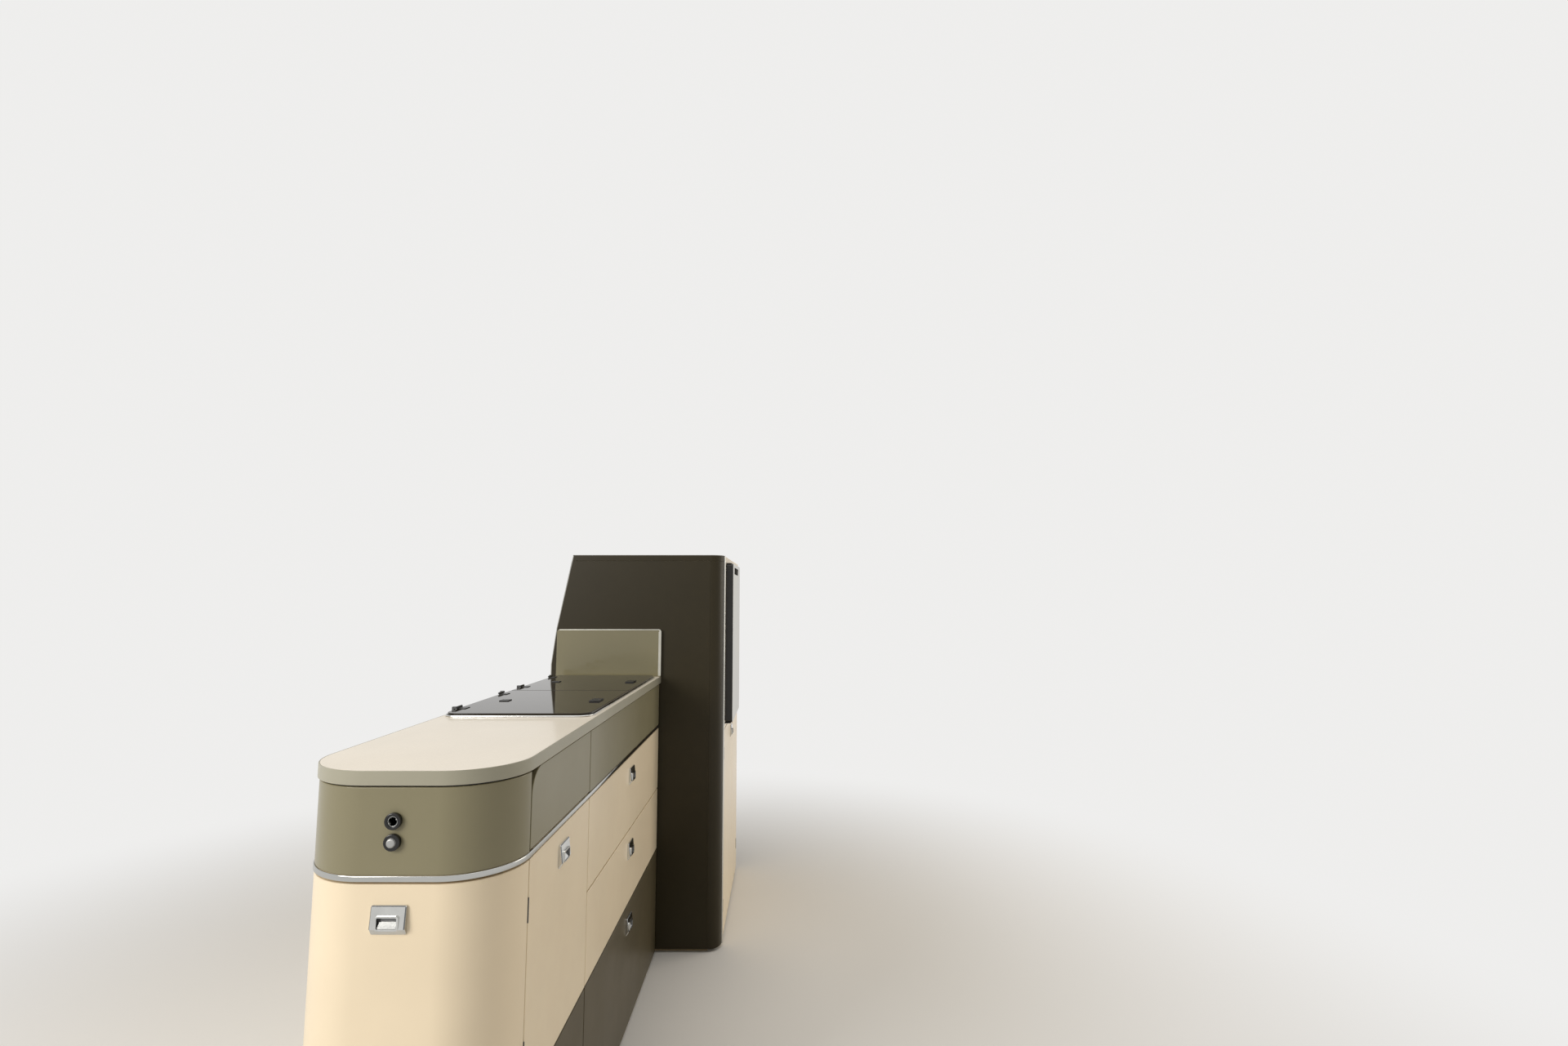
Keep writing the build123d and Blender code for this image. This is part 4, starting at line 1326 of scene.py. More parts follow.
@dataclass(frozen=True)
class Lamp:
    """A square soft lamp, in metres and watts, that faces a target."""

    name: str
    place: Point
    target: Point
    size: float
    power: float
    color: Color

    def build(self) -> None:
        """Hang the lamp."""
        data = bpy.data.lights.new(self.name, "AREA")
        data.shape = "SQUARE"
        data.size = self.size
        data.energy = self.power
        data.color = self.color
        obj = linked(self.name, data)
        obj.location = self.place
        way = Vector(self.target) - Vector(self.place)
        obj.rotation_euler = way.to_track_quat("-Z", "Y").to_euler()


@dataclass
class Studio:
    """Pale floor, soft light and the camera, in metres and degrees."""

    camera_place: Point = (-2.2005, -0.596, 1.1437)
    camera_pitch: float = 5.774
    camera_yaw: float = 0.19
    camera_near: float = 0.02
    focal_pixels: float = 900.0
    image_width: float = 1920.0
    sensor: float = 36.0
    floor_color: Color = (0.86, 0.85, 0.83)
    background: Color = (0.86, 0.855, 0.845)
    floor_reach: float = 14.0
    floor_sides: int = 96
    fade_start: float = 0.9
    fade_end: float = 2.9
    world_color: Color = (1.0, 0.95, 0.87)
    world_strength: float = 0.32
    lamps: tuple[Lamp, ...] = (
        Lamp("key_lamp", place=(-3.3, 2.3, 2.1), target=(-0.7, 0.0, 0.6), size=1.8, power=100.0,
             color=(1.0, 0.97, 0.925)),
        Lamp("top_lamp", place=(-0.3, 0.1, 3.8), target=(-0.3, 0.0, 0.8), size=3.0, power=36.0,
             color=(1.0, 0.98, 0.95)),
        Lamp("fill_lamp", place=(1.6, -4.0, 1.7), target=(0.0, 0.0, 0.6), size=2.4, power=46.0,
             color=(1.0, 0.91, 0.78)),
    )

    def build(self) -> None:
        """Set up the camera, the world, the floor and the lamps."""
        bpy.context.scene.view_settings.view_transform = "Standard"
        self._camera()
        self._world()
        self._floor()
        for lamp in self.lamps:
            lamp.build()

    def _camera(self) -> None:
        """The camera at the photographed view's place and angle."""
        data = bpy.data.cameras.new("camera")
        data.sensor_width = self.sensor
        data.lens = self.focal_pixels * self.sensor / self.image_width
        data.clip_start = self.camera_near
        obj = linked("camera", data)
        obj.location = self.camera_place
        tilt, turn = math.radians(90 + self.camera_pitch), math.radians(-90 + self.camera_yaw)
        obj.rotation_euler = (tilt, 0.0, turn)
        bpy.context.scene.camera = obj

    @staticmethod
    def _emptied(holder: bpy.types.ID) -> NodeBoard:
        """Give a world or a material nodes, and take its first ones out.

        Args:
            holder: the world or the material.

        Returns:
            Its empty node board.
        """
        holder.use_nodes = True
        holder.node_tree.nodes.clear()
        return NodeBoard(holder.node_tree)

    @staticmethod
    def _seen(board: NodeBoard) -> Socket:
        """Mask of the rays that see the background.

        Args:
            board: the nodes of the floor or the world.

        Returns:
            1 for rays from the camera, in gloss and through glass.
        """
        path = board.add("ShaderNodeLightPath").outputs
        seen = board.compute("MAXIMUM", path["Is Camera Ray"], path["Is Glossy Ray"])
        return board.compute("MAXIMUM", seen, path["Is Transmission Ray"])

    def _world(self) -> None:
        """Pale world, seen at full strength and lighting at a lower one."""
        world = bpy.data.worlds.new("studio")
        bpy.context.scene.world = world
        board = self._emptied(world)
        light = board.add("ShaderNodeBackground",
                          {"Color": scaled(self.world_color), "Strength": self.world_strength})
        view = board.add("ShaderNodeBackground",
                         {"Color": scaled(self.background), "Strength": 1.0})
        parts = {0: self._seen(board), 1: light.outputs[0], 2: view.outputs[0]}
        mixed = board.add("ShaderNodeMixShader", parts)
        board.add("ShaderNodeOutputWorld", {"Surface": mixed.outputs[0]})

    def _floor(self) -> None:
        """Round floor that fades into the background far out."""
        mesh = lathe("floor", ((0.0, 0.0), (self.floor_reach / MM, 0.0)), ORIGIN,
                     sides=self.floor_sides)
        material = bpy.data.materials.new("pale_floor")
        board = self._emptied(material)
        matt = board.add("ShaderNodeBsdfDiffuse", {"Color": scaled(self.floor_color)})
        glow = board.add("ShaderNodeEmission", {"Color": scaled(self.background), "Strength": 1.0})
        far = board.vectors("LENGTH", board.place()).outputs["Value"]
        limits = {"Value": far, "From Min": self.fade_start, "From Max": self.fade_end}
        fade = board.add("ShaderNodeMapRange", limits, interpolation_type="SMOOTHSTEP")
        share = board.times(fade.outputs["Result"], self._seen(board))
        parts = {0: share, 1: matt.outputs[0], 2: glow.outputs[0]}
        mixed = board.add("ShaderNodeMixShader", parts)
        board.add("ShaderNodeOutputMaterial", {"Surface": mixed.outputs[0]})
        mesh.materials.append(material)
        linked("floor", mesh)


@dataclass
class Latches:
    """Satin latch plates, each with a bright guard and tongue and a recess painted dark as shade,
    in millimetres.
    """

    shop: Workshop
    names: tuple[str, ...] = (
        "end", "pantry", "base", "top", "middle", "bottom", "locker", "wardrobe")
    edge: float = 0.35
    recess_length: float = 30.0
    recess_height: float = 16.0
    recess_drop: float = 3.0
    recess_floor: float = 2.8
    guard_width: float = 2.8
    guard_proud: float = 9.4
    wall_reach: float = 0.6
    plate_slope: float = 0.6

    def build(self) -> None:
        """Make every latch."""
        for name in self.names:
            self._latch(name + "_latch")

    def _latch(self, node: str) -> None:
        """Make one plate, its sloping face satin, and its recess's floor and walls painted dark as
        shade.

        Args:
            node: the plate's node.
        """
        low, high = self.shop.box(node)
        middle = (low + high) / 2
        out, along = (0, 1) if high.x - low.x < high.y - low.y else (1, 0)
        recess_z = middle.z - self.recess_drop
        wall_top = self.guard_proud - self.wall_reach

        def inside(spot: Vector) -> float:
            """How far inside the recess's outline a point is."""
            return min(self.recess_length / 2 - abs(spot[along] - middle[along]),
                       self.recess_height / 2 - abs(spot.z - recess_z))

        def sunk(spot: Vector, _: Vector) -> bool:
            """Whether a face is the recess's floor or one of its walls, which are painted dark as
            shade.
            """
            reach = wall_top if inside(spot) < self.wall_reach else self.recess_floor
            return inside(spot) > -self.wall_reach / 2 and high[out] - spot[out] < reach

        def on_plate(spot: Vector, normal: Vector) -> bool:
            """Whether a face is the plate's front, outside the guard."""
            return (inside(spot) < -self.guard_width and normal[out] < -self.plate_slope
                    and spot.z > recess_z - self.recess_height / 2)

        piece = self.shop.coated(Coat(node, Look.LATCH_METAL, self.edge, steps=2))
        self.shop.tint(piece, Look.LATCH_PLATE, on_plate)
        # Painted shade: the recess's floor and walls take a dark metal.
        self.shop.tint(piece, Look.LATCH_RECESS_SHADE, sunk)


@dataclass
class LowRun:
    """Worktop, bent end, fascias, fronts, trim and round fittings, in millimetres."""

    shop: Workshop
    run_length: float = 1352.0
    run_depth: float = 350.0
    tall_length: float = 745.0
    aisle_radius: float = 110.0
    wall_radius: float = 125.0
    wall_return: float = 17.0
    arc_steps: int = 24
    top_edge: float = 0.9
    band_edge: float = 0.7
    board_edge: float = 1.5
    trim_inset: float = 1.0
    trim_thickness: float = 3.0
    trim_corner: float = 1.45
    # Black strip under the worktop's edge: a painted shadow in the gap above the fascias.
    shadow_strip_inset: float = 10.0
    shadow_strip_width: float = 8.0
    shadow_strip_height: float = 2.5
    shadow_strip_gap: float = 0.2
    shadow_strip_corner: float = 0.6
    fascias: tuple[str, ...] = ("end_fascia", "front_fascia", "cutlery_drawer_front")
    cream_fronts: tuple[str, ...] = (
        "end_door", "pantry_drawer_front", "top_drawer_front", "middle_drawer_front")
    dark_fronts: tuple[str, ...] = (
        "end_lower_panel", "base_drawer_front", "bottom_drawer_front")
    socket_height: float = 806.0
    sleeve_profile: Profile = ((6.8, -2.0), (7.7, -2.0), (7.7, -18.0), (6.8, -18.0), (6.8, -2.0))
    contact_profile: Profile = ((0.0, -34.0), (4.2, -34.0), (4.2, -24.0), (2.6, -22.0),
                                (2.6, -14.5), (1.4, -13.0), (0.0, -12.6))
    cap_rise: float = 2.9

    @property
    def near_x(self) -> float:
        """X of the run's rounded near end."""
        return -(self.run_length + self.tall_length) / 2

    def path(self, inset: float, height: float, aisle_end: float) -> list[Point]:
        """Points round the near end, from the aisle side to the end of the wall side's return.

        Args:
            inset: how far in from the worktop's edge.
            height: the points' height.
            aisle_end: X where the straight leg on the aisle side ends.

        Returns:
            The points.
        """
        half = self.run_depth / 2
        wall_x = self.near_x + self.wall_radius
        arcs = ((self.near_x + self.aisle_radius, self.aisle_radius - half, self.aisle_radius, -90),
                (wall_x, half - self.wall_radius, self.wall_radius, -180))
        points: list[Point] = [(aisle_end, inset - half, height)]
        for x, y, radius, first in arcs:
            for step in range(self.arc_steps + 1):
                angle = math.radians(first - 90 * step / self.arc_steps)
                reach = radius - inset
                points.append((x + reach * math.cos(angle), y + reach * math.sin(angle), height))
        points.append((wall_x + self.wall_return, half - inset, height))
        return points

    def build(self) -> None:
        """Make every piece of the low run's outside."""
        shop = self.shop
        shop.coated(Coat("worktop", Look.WORKTOP_LAMINATE, self.top_edge),
                    Coat("worktop_edging", Look.WORKTOP_EDGE, self.band_edge))
        for nodes, finish in ((self.fascias, Look.GREY_FASCIA),
                              (self.cream_fronts, Look.CREAM_FRONT),
                              (self.dark_fronts, Look.GRAPHITE_FRONT)):
            shop.coated(*(Coat(node, finish, self.board_edge) for node in nodes))
        low, high = shop.box("bright_trim")
        tag = Tag("bright_trim_strip", Look.BRIGHT_TRIM, "bright_trim", replaced=("bright_trim",))
        self._strip(tag, self.trim_inset + self.trim_thickness / 2, self.trim_thickness, low.z,
                    high.z, self.trim_corner)
        # Painted shadow: a black strip fills the gap under the worktop's edge.
        shadow_strip_top = shop.box("worktop")[0].z - self.shadow_strip_gap
        tag = Tag("worktop_shadow_strip", Look.BLACK_PLASTIC, "black_plastic")
        self._strip(tag, self.shadow_strip_inset, self.shadow_strip_width, shadow_strip_top - self.shadow_strip_height, shadow_strip_top,
                    self.shadow_strip_corner)
        self._fittings()

    def _strip(self, tag: Tag, inset: float, width: float, low: float, high: float,
               corner: float) -> None:
        """Rounded strip along the run's outline.

        Args:
            tag: the piece's name, finish and place.
            inset: how far the strip's middle is in from the worktop's edge.
            width: how deep it is.
            low, high: heights of its underside and top.
            corner: radius of its long edges.
        """
        end_x = self.shop.box("bright_trim")[1].x
        path = path_mesh(tag.name, [self.path(inset, (low + high) / 2, end_x)])
        self.shop.grown(self.shop.strip, path, tag, Width=width * MM, Height=(high - low) * MM,
                        Corner=corner * MM)

    def _fittings(self) -> None:
        """Power socket with its contacts, and push button with a metal cap."""
        shop = self.shop
        shop.coated(Coat("power_socket", Look.GLOSS_BLACK, edge=0.7))
        mouth = (shop.box("power_socket")[0].x, 0.0, self.socket_height)
        sleeve = lathe("sleeve", self.sleeve_profile, mouth, TO_NEAR_END, sides=40)
        contact = lathe("contact", self.contact_profile, mouth, TO_NEAR_END, sides=24)
        shop.assembled([sleeve, contact], Tag("power_socket_contacts", Look.LATCH_METAL, "steel"),
                       edge=0.2)
        cap_x = shop.box("push_button")[0].x + self.cap_rise
        shop.tint(shop.coated(Coat("push_button", Look.GLOSS_BLACK, edge=0.5)), Look.BURNER_ALLOY,
                  lambda spot, _: spot.x < cap_x)


@dataclass
class Drawers:
    """Drawer boxes, their ribbed mats, screws and runners, in millimetres."""

    shop: Workshop
    names: tuple[str, ...] = ("cutlery", "pantry", "base", "top", "middle", "bottom")
    wall: float = 10.0
    box_edge: float = 1.0
    runner_edge: float = 1.2
    mat_margin: float = 12.0
    mat_lift: float = 0.02
    rib_pitch: float = 9.0
    rib_crest: float = 0.8
    rib_foot: float = 0.3
    screw_radius: float = 3.4
    screw_margin: float = 45.0
    screws_across: int = 4

    def build(self) -> None:
        """Make the boxes, mats, screws and runners."""
        for name in self.names:
            node = name + "_drawer_box"
            self.shop.coated(Coat(node, Look.CARCASS_BOARD, self.box_edge, steps=2))
            low, high = self.shop.box(node)
            self._mat(name, low, high)
            self._front_screws(name, low, high)
        self.shop.coated(Coat("drawer_runners", Look.ZINC_STEEL, self.runner_edge, steps=2))

    def _mat(self, name: str, low: Vector, high: Vector) -> None:
        """Ribbed mat on a drawer's floor.

        Args:
            name: the drawer's name.
            low, high: opposite corners of its box.
        """
        length = high.x - low.x - 2 * self.mat_margin
        depth = high.y - low.y - 2 * self.mat_margin
        rib = box_mesh(name + "_mat", ORIGIN, (self.rib_pitch, depth, self.rib_crest))
        for vertex in rib.vertices:
            if vertex.co.z > 0 and vertex.co.x > 0:
                vertex.co.z = self.rib_foot * MM
        count = int(length // self.rib_pitch)
        start_x = low.x + self.mat_margin + (length - count * self.rib_pitch) / 2
        start = (start_x, low.y + self.mat_margin, low.z + self.wall + self.mat_lift)
        tag = Tag(name + "_drawer_mat", Look.MAT_GREY, "black_plastic", name + "_drawer")
        places = Places(start, (self.rib_pitch, 0.0, 0.0), count)
        self.shop.grown(self.shop.rows, rib, tag, **places.inputs())

    def _front_screws(self, name: str, low: Vector, high: Vector) -> None:
        """Screws that hold the front, seen from inside the box.

        Args:
            name: the drawer's name.
            low, high: opposite corners of its box.
        """
        across = (high.x - low.x - 2 * self.screw_margin) / (self.screws_across - 1)
        lift = min(self.screw_margin, (high.z - low.z) / 3)
        start = (low.x + self.screw_margin, low.y + self.wall, low.z + self.wall + lift)
        rise = high.z - low.z - self.wall - 2 * lift
        places = Places(start, (across, 0.0, 0.0), self.screws_across, (0.0, 0.0, rise), 2)
        self.shop.screws(name + "_front_screws", self.screw_radius, TO_WALL, places,
                         name + "_drawer")


@dataclass(frozen=True)
class Burner:
    """A burner's radius, and its middle from the middle of the hob's well."""

    name: str
    x: float
    y: float
    radius: float


@dataclass
class SinkHobUnit:
    """Steel tray, burners, supports, knobs, tap, drain and the two glass lids, in millimetres.

    A profile gives radius and height. Steps give how far in from a radius, and height.
    """

    shop: Workshop
    coats: tuple[Coat, ...] = (
        Coat("sink_lid", Look.LID_GLASS, steps=2),
        Coat("hob_lid", Look.LID_GLASS, steps=2),
        Coat("sink_lid_fittings", Look.BLACK_PLASTIC, edge=0.6, steps=2),
        Coat("hob_lid_fittings", Look.BLACK_PLASTIC, edge=0.6, steps=2),
        Coat("lid_hinge_posts", Look.DARK_STEEL, edge=0.5, steps=2),
        Coat("pan_supports", Look.CAST_BLACK, edge=1.9),
    )
    middle_x: float = -135.5
    middle_y: float = 2.5
    well_shift: float = 201.35
    floor: float = 848.0
    bead_radius: float = 1.7
    bead_gap: float = 0.2
    bead_corner: float = 27.2
    bead_steps: int = 10
    burners: tuple[Burner, ...] = (
        Burner("small", -92.0, 32.0, 34.0), Burner("large", 92.0, -2.0, 44.0))
    cup_steps: Pairs = ((0, 0), (0, 4.5), (2, 7.2), (5, 8), (9, 8), (9, 14))
    cup_top: float = 14.0
    cap_steps: Pairs = ((5.6, 13.6), (5.6, 15.6), (7.5, 17.6), (12, 18.8))
    cap_crown: tuple[float, float] = (0.6, 19.7)
    cap_top: float = 20.0
    ports_per_mm: float = 0.9
    port_inset: float = 9.4
    port_size: Point = (3.6, 1.8, 6.2)
    port_z: float = 7.6
    pin_gap: float = 6.5
    rod_profile: Profile = (
        (0, 0), (3.4, 0), (3.4, 2.4), (2.3, 3), (2.3, 9.4), (1.2, 10), (0, 10))
    tip_profile: Profile = ((0, 9.5), (0.8, 9.5), (0.8, 14.2), (0, 14.8))
    knobs: Pairs = ((-28.0, -118.0), (28.0, -118.0))
    knob_radius: float = 17.0
    knob_height: float = 22.0
    knob_foot: Pairs = ((0, 0), (0, 2.4), (1.8, 3.6), (2.8, 5))
    knob_crown: Pairs = ((4, -1.6), (5.4, 0), (8, -0.5))
    knob_dish: float = 0.9
    pointer_low: Point = (-0.9, 5.6, -1.2)
    pointer_high: Point = (0.9, -3.0, 0.1)
    knob_ribs: int = 30
    rib_half: float = 0.7
    rib_reaches: tuple[float, float] = (3.4, 2.1)
    rib_foot: float = 4.6
    rib_drop: float = 2.0
    rib_lean: float = 1.2
    tap_x: float = -180.85
    tap_y: float = 76.7
    tap_height: float = 24.0
    spout_from_tap: tuple[float, float] = (-76.0, -170.0)
    spout_z: float = 863.0
    collar_profile: Profile = (
        (18.6, 0), (22.5, 0), (22.5, 1.8), (20.8, 3.2), (18.6, 3.2), (18.6, 0))
    mouth_profile: Profile = (
        (0, -9.5), (8.2, -9.5), (9.0, -8.8), (9.0, -5.2), (8.5, -4.8), (8.5, -4.2),
        (9.0, -3.8), (9.0, 1.2), (8.4, 1.9), (6.6, 1.9), (6.4, 0.6), (0, 0.6))
    hub_profile: Profile = ((0, -0.3), (12.5, -0.3), (12.5, 3.4), (11.2, 4.8), (0, 5.4))
    lever_section: Profile = (
        (-1.0, 0.0), (1.0, 0.0), (1.0, 0.55), (0.6, 1.0), (-0.6, 1.0), (-1.0, 0.55))
    lever_stations: tuple[tuple[float, float, float, float], ...] = (
        (9, 9.5, 0.2, 4.2), (16, 8.4, 0.8, 3.8), (26, 7.4, 1.8, 3.2),
        (36, 7.8, 2.8, 2.8), (44, 8.6, 3.4, 2.4), (49, 6.4, 3.7, 2.0))
    bowl_shift: float = -32.0
    drain_radius: float = 30.0
    drain_top: float = 746.0
    drain_steps: Pairs = (
        (6, 0), (-2.5, 0), (-2.5, -1.4), (-1, 1.0), (2, 1.8), (6, 0.8), (6, 0))
    drain_screw_radius: float = 4.2

    @property
    def hob_x(self) -> float:
        """X of the middle of the hob's well."""
        return self.middle_x + self.well_shift

    def build(self) -> None:
        """Make every piece of the unit."""
        self._tray()
        self.shop.coated(*self.coats)
        self._burners()
        self._knobs()
        self._tap()
        self._drain()

    def _tray(self) -> None:
        """Pressed tray, with a bright bead round its rim outside the lids."""
        self.shop.coated(Coat("unit_tray", Look.BRUSHED_STEEL, edge=0.9))
        low, high = self.shop.box("unit_tray")
        radius = self.bead_corner
        inset = self.bead_radius + self.bead_gap + radius
        x0, x1, y0, y1 = low.x + inset, high.x - inset, low.y + inset, high.y - inset
        loop: list[Point] = []
        for x, y, first in ((x0, y0, 180), (x1, y0, 270), (x1, y1, 0), (x0, y1, 90)):
            for step in range(self.bead_steps + 1):
                angle = math.radians(first + 90 * step / self.bead_steps)
                loop.append((x + radius * math.cos(angle), y + radius * math.sin(angle), high.z))
        loop.append(loop[0])
        self.shop.wires([loop], self.bead_radius, Tag("tray_bead", Look.LATCH_METAL, "steel"))

    def _burners(self) -> None:
        """Burner cups with their ring of ports, enamelled caps and ignition pins."""
        cups, caps, rods, tips = [], [], [], []
        for burner in self.burners:
            x, y, radius = self.hob_x + burner.x, self.middle_y + burner.y, burner.radius
            seat, pin = (x, y, self.floor), (x + radius + self.pin_gap, y, self.floor)
            crown = (self.cap_crown[0] * radius, self.cap_crown[1])
            cup = stepped(radius, self.cup_steps, self.cup_top)
            cap = stepped(radius, (*self.cap_steps, crown), self.cap_top)
            cups.append(lathe("cup", cup, seat, sides=64))
            caps.append(lathe("cap", cap, seat, sides=64))
            rods.append(lathe("rod", self.rod_profile, pin, sides=20))
            tips.append(lathe("tip", self.tip_profile, pin, sides=12))
            length, width, height = self.port_size
            port = box_mesh("port", (radius - self.port_inset, -width / 2, self.port_z),
                            (radius - self.port_inset + length, width / 2, self.port_z + height))
            tag = Tag(burner.name + "_burner_ports", Look.BURNER_ALLOY, "cast_black")
            self.shop.grown(self.shop.ring, port, tag, Centre=Vector(seat) * MM,
                            Count=int(radius * self.ports_per_mm))
        cup_tag = Tag("burner_cups", Look.BURNER_ALLOY, "cast_black", replaced=("hob_burners",))
        self.shop.assembled(cups, cup_tag, edge=0.5)
        self.shop.assembled(caps, Tag("burner_caps", Look.ENAMEL_BLACK, "cast_black"), edge=0.5)
        self.shop.assembled(rods, Tag("ignition_rods", Look.CERAMIC_WHITE, "steel"), edge=0.3)
        self.shop.assembled(tips, Tag("ignition_tips", Look.ZINC_STEEL, "steel"), edge=0.15)

    def _knobs(self) -> None:
        """Two ribbed knobs with a pale pointer."""
        radius, height = self.knob_radius, self.knob_height
        crown = tuple((inset, height + lift) for inset, lift in self.knob_crown)
        profile = stepped(radius, self.knob_foot + crown, height - self.knob_dish)
        rib = [(radius - reach - lean, side * self.rib_half, z)
               for lean, z in ((0.0, self.rib_foot), (self.rib_lean, height - self.rib_drop))
               for reach in self.rib_reaches for side in (-1, 1)]
        (x0, y0, z0), (x1, y1, z1) = self.pointer_low, self.pointer_high
        forms, pointers = [], []
        for number, (shift_x, shift_y) in enumerate(self.knobs, 1):
            x, y = self.hob_x + shift_x, self.middle_y + shift_y
            top = self.floor + height
            forms.append(lathe("knob", profile, (x, y, self.floor)))
            pointers.append(box_mesh("pointer", (x + x0, y - radius + y0, top + z0),
                                     (x + x1, y + y1, top + z1)))
            tag = Tag(f"knob_ribs_{number}", Look.BLACK_PLASTIC, "black_plastic")
            self.shop.grown(self.shop.ring, mesh_from("rib", rib, BOX_FACES), tag,
                            Centre=Vector((x, y, self.floor)) * MM, Count=self.knob_ribs)
        tag = Tag("knob_forms", Look.BLACK_PLASTIC, "black_plastic", replaced=("hob_knobs",))
        self.shop.assembled(forms, tag, edge=0.4)
        self.shop.assembled(pointers, Tag("knob_pointers", Look.CERAMIC_WHITE, "black_plastic"),
                            edge=0.3)

    def _tap(self) -> None:
        """Folded tap with a collar, a mouthpiece and a lever."""
        self.shop.coated(Coat("folded_tap", Look.BRIGHT_TRIM, edge=1.0))
        top = self.floor + self.tap_height
        spout_x, spout_y = self.spout_from_tap
        spout = (self.tap_x + spout_x, self.tap_y + spout_y, self.spout_z)
        sections = [[(self.tap_x - reach, self.tap_y + side * width, top + rise + lift * thickness)
                     for side, lift in self.lever_section]
                    for reach, width, rise, thickness in self.lever_stations]
        forms = [lathe("collar", self.collar_profile, (self.tap_x, self.tap_y, self.floor)),
                 lathe("mouth", self.mouth_profile, spout, TO_NEAR_END, sides=40),
                 lathe("hub", self.hub_profile, (self.tap_x, self.tap_y, top)),
                 lofted("lever", sections)]
        self.shop.assembled(forms, Tag("tap_trim", Look.BRIGHT_TRIM, "bright_trim"), edge=0.4)

    def _drain(self) -> None:
        """Ring and screw of the bowl's drain."""
        seat = (self.middle_x - self.well_shift + self.bowl_shift, self.middle_y, self.drain_top)
        profile = tuple((self.drain_radius - inset, height) for inset, height in self.drain_steps)
        ring = lathe("ring", profile, seat)
        self.shop.assembled([ring], Tag("drain_ring", Look.BRIGHT_TRIM, "steel"), edge=0.3)
        self.shop.screws("drain_screw", self.drain_screw_radius, UP, Places(seat))


@dataclass
class TallCabinet:
    """Outside, doors, edge strips and splashback of the tall cabinet, in millimetres."""

    shop: Workshop
    coats: tuple[Coat, ...] = (
        Coat("tall_front_panel", Look.GRAPHITE_PANEL),
        Coat("tall_corner_post", Look.GRAPHITE_PANEL, edge=0.5),
        Coat("corner_strip", Look.EDGE_PROFILE, edge=0.6),
        Coat("aisle_frame", Look.CREAM_FRONT, edge=0.9),
        Coat("locker_door", Look.CREAM_FRONT, edge=0.9),
        Coat("wardrobe_door", Look.CREAM_FRONT, edge=0.9),
        Coat("splashback", Look.SPLASH_GLOSS, edge=1.2),
        Coat("tall_top", Look.CREAM_FRONT, edge=1.2),
    )
    corner_radius: float = 43.0
    top_slope: float = 0.95
    wall_line: Pairs = ((196.0, 884.0), (196.0, 920.0), (181.0, 1039.0), (132.0, 1284.0))
    seal_radius: float = 1.7
    seal_set_back: float = 0.6
    splash_corner: float = 8.0
    arc_steps: int = 6
    lip_side: float = 8.0
    lip_top: float = 2.2
    lip_proud: float = 1.0
    lip_lap: float = 0.1
    foot_gap: float = 2.5
    skin: float = 0.8
    skin_short: float = 0.3
    profile_edge: float = 0.3

    def build(self) -> None:
        """Make every piece of the tall cabinet."""
        dark_end = self.shop.box("tall_top")[0].x + self.corner_radius
        self.shop.tint(self.shop.coated(*self.coats), Look.GRAPHITE_PANEL,
                       lambda spot, normal: spot.x < dark_end and abs(normal.z) < self.top_slope)
        self._wall_seal()
        self._splash_profile()

    def _wall_seal(self) -> None:
        """Pale bead up the panel's wall side."""
        x = self.shop.box("tall_front_panel")[0].x + self.seal_set_back
        line = [(x, y - self.seal_radius, z) for y, z in self.wall_line]
        self.shop.wires([line], self.seal_radius, Tag("tall_wall_seal", Look.SEAL_GREY, "edging"))

    def _splash_profile(self) -> None:
        """Metal profile round the splashback's aisle side and top, its lip on the front face."""
        low, high = self.shop.box("splashback")
        corner = self.splash_corner
        # Along the edge: Y and Z, the way out, and how far the lip reaches over the face.
        spots = [(low.y, low.z + self.foot_gap, -1.0, 0.0, self.lip_side)]
        for step in range(self.arc_steps + 1):
            share = step / self.arc_steps
            out_y, out_z = -math.cos(math.pi / 2 * share), math.sin(math.pi / 2 * share)
            lip = self.lip_side + (self.lip_top - self.lip_side) * share
            spots.append((low.y + corner * (1 + out_y), high.z - corner * (1 - out_z), out_y, out_z,
                          lip))
        spots.append((high.y - corner, high.z, 0.0, 1.0, self.lip_top))
        front, back = low.x - self.lip_proud, high.x - self.skin_short
        face = low.x - self.lip_lap
        sections = []
        for y, z, out_y, out_z, lip in spots:
            loop = ((front, self.skin), (front, -lip), (face, -lip), (face, self.lip_lap),
                    (back, self.lip_lap), (back, self.skin))
            sections.append([(x, y + out_y * reach, z + out_z * reach) for x, reach in loop])
        tag = Tag("splash_edge_profile", Look.PALE_PROFILE, "bright_trim")
        self.shop.assembled([lofted(tag.name, sections)], tag, self.profile_edge)


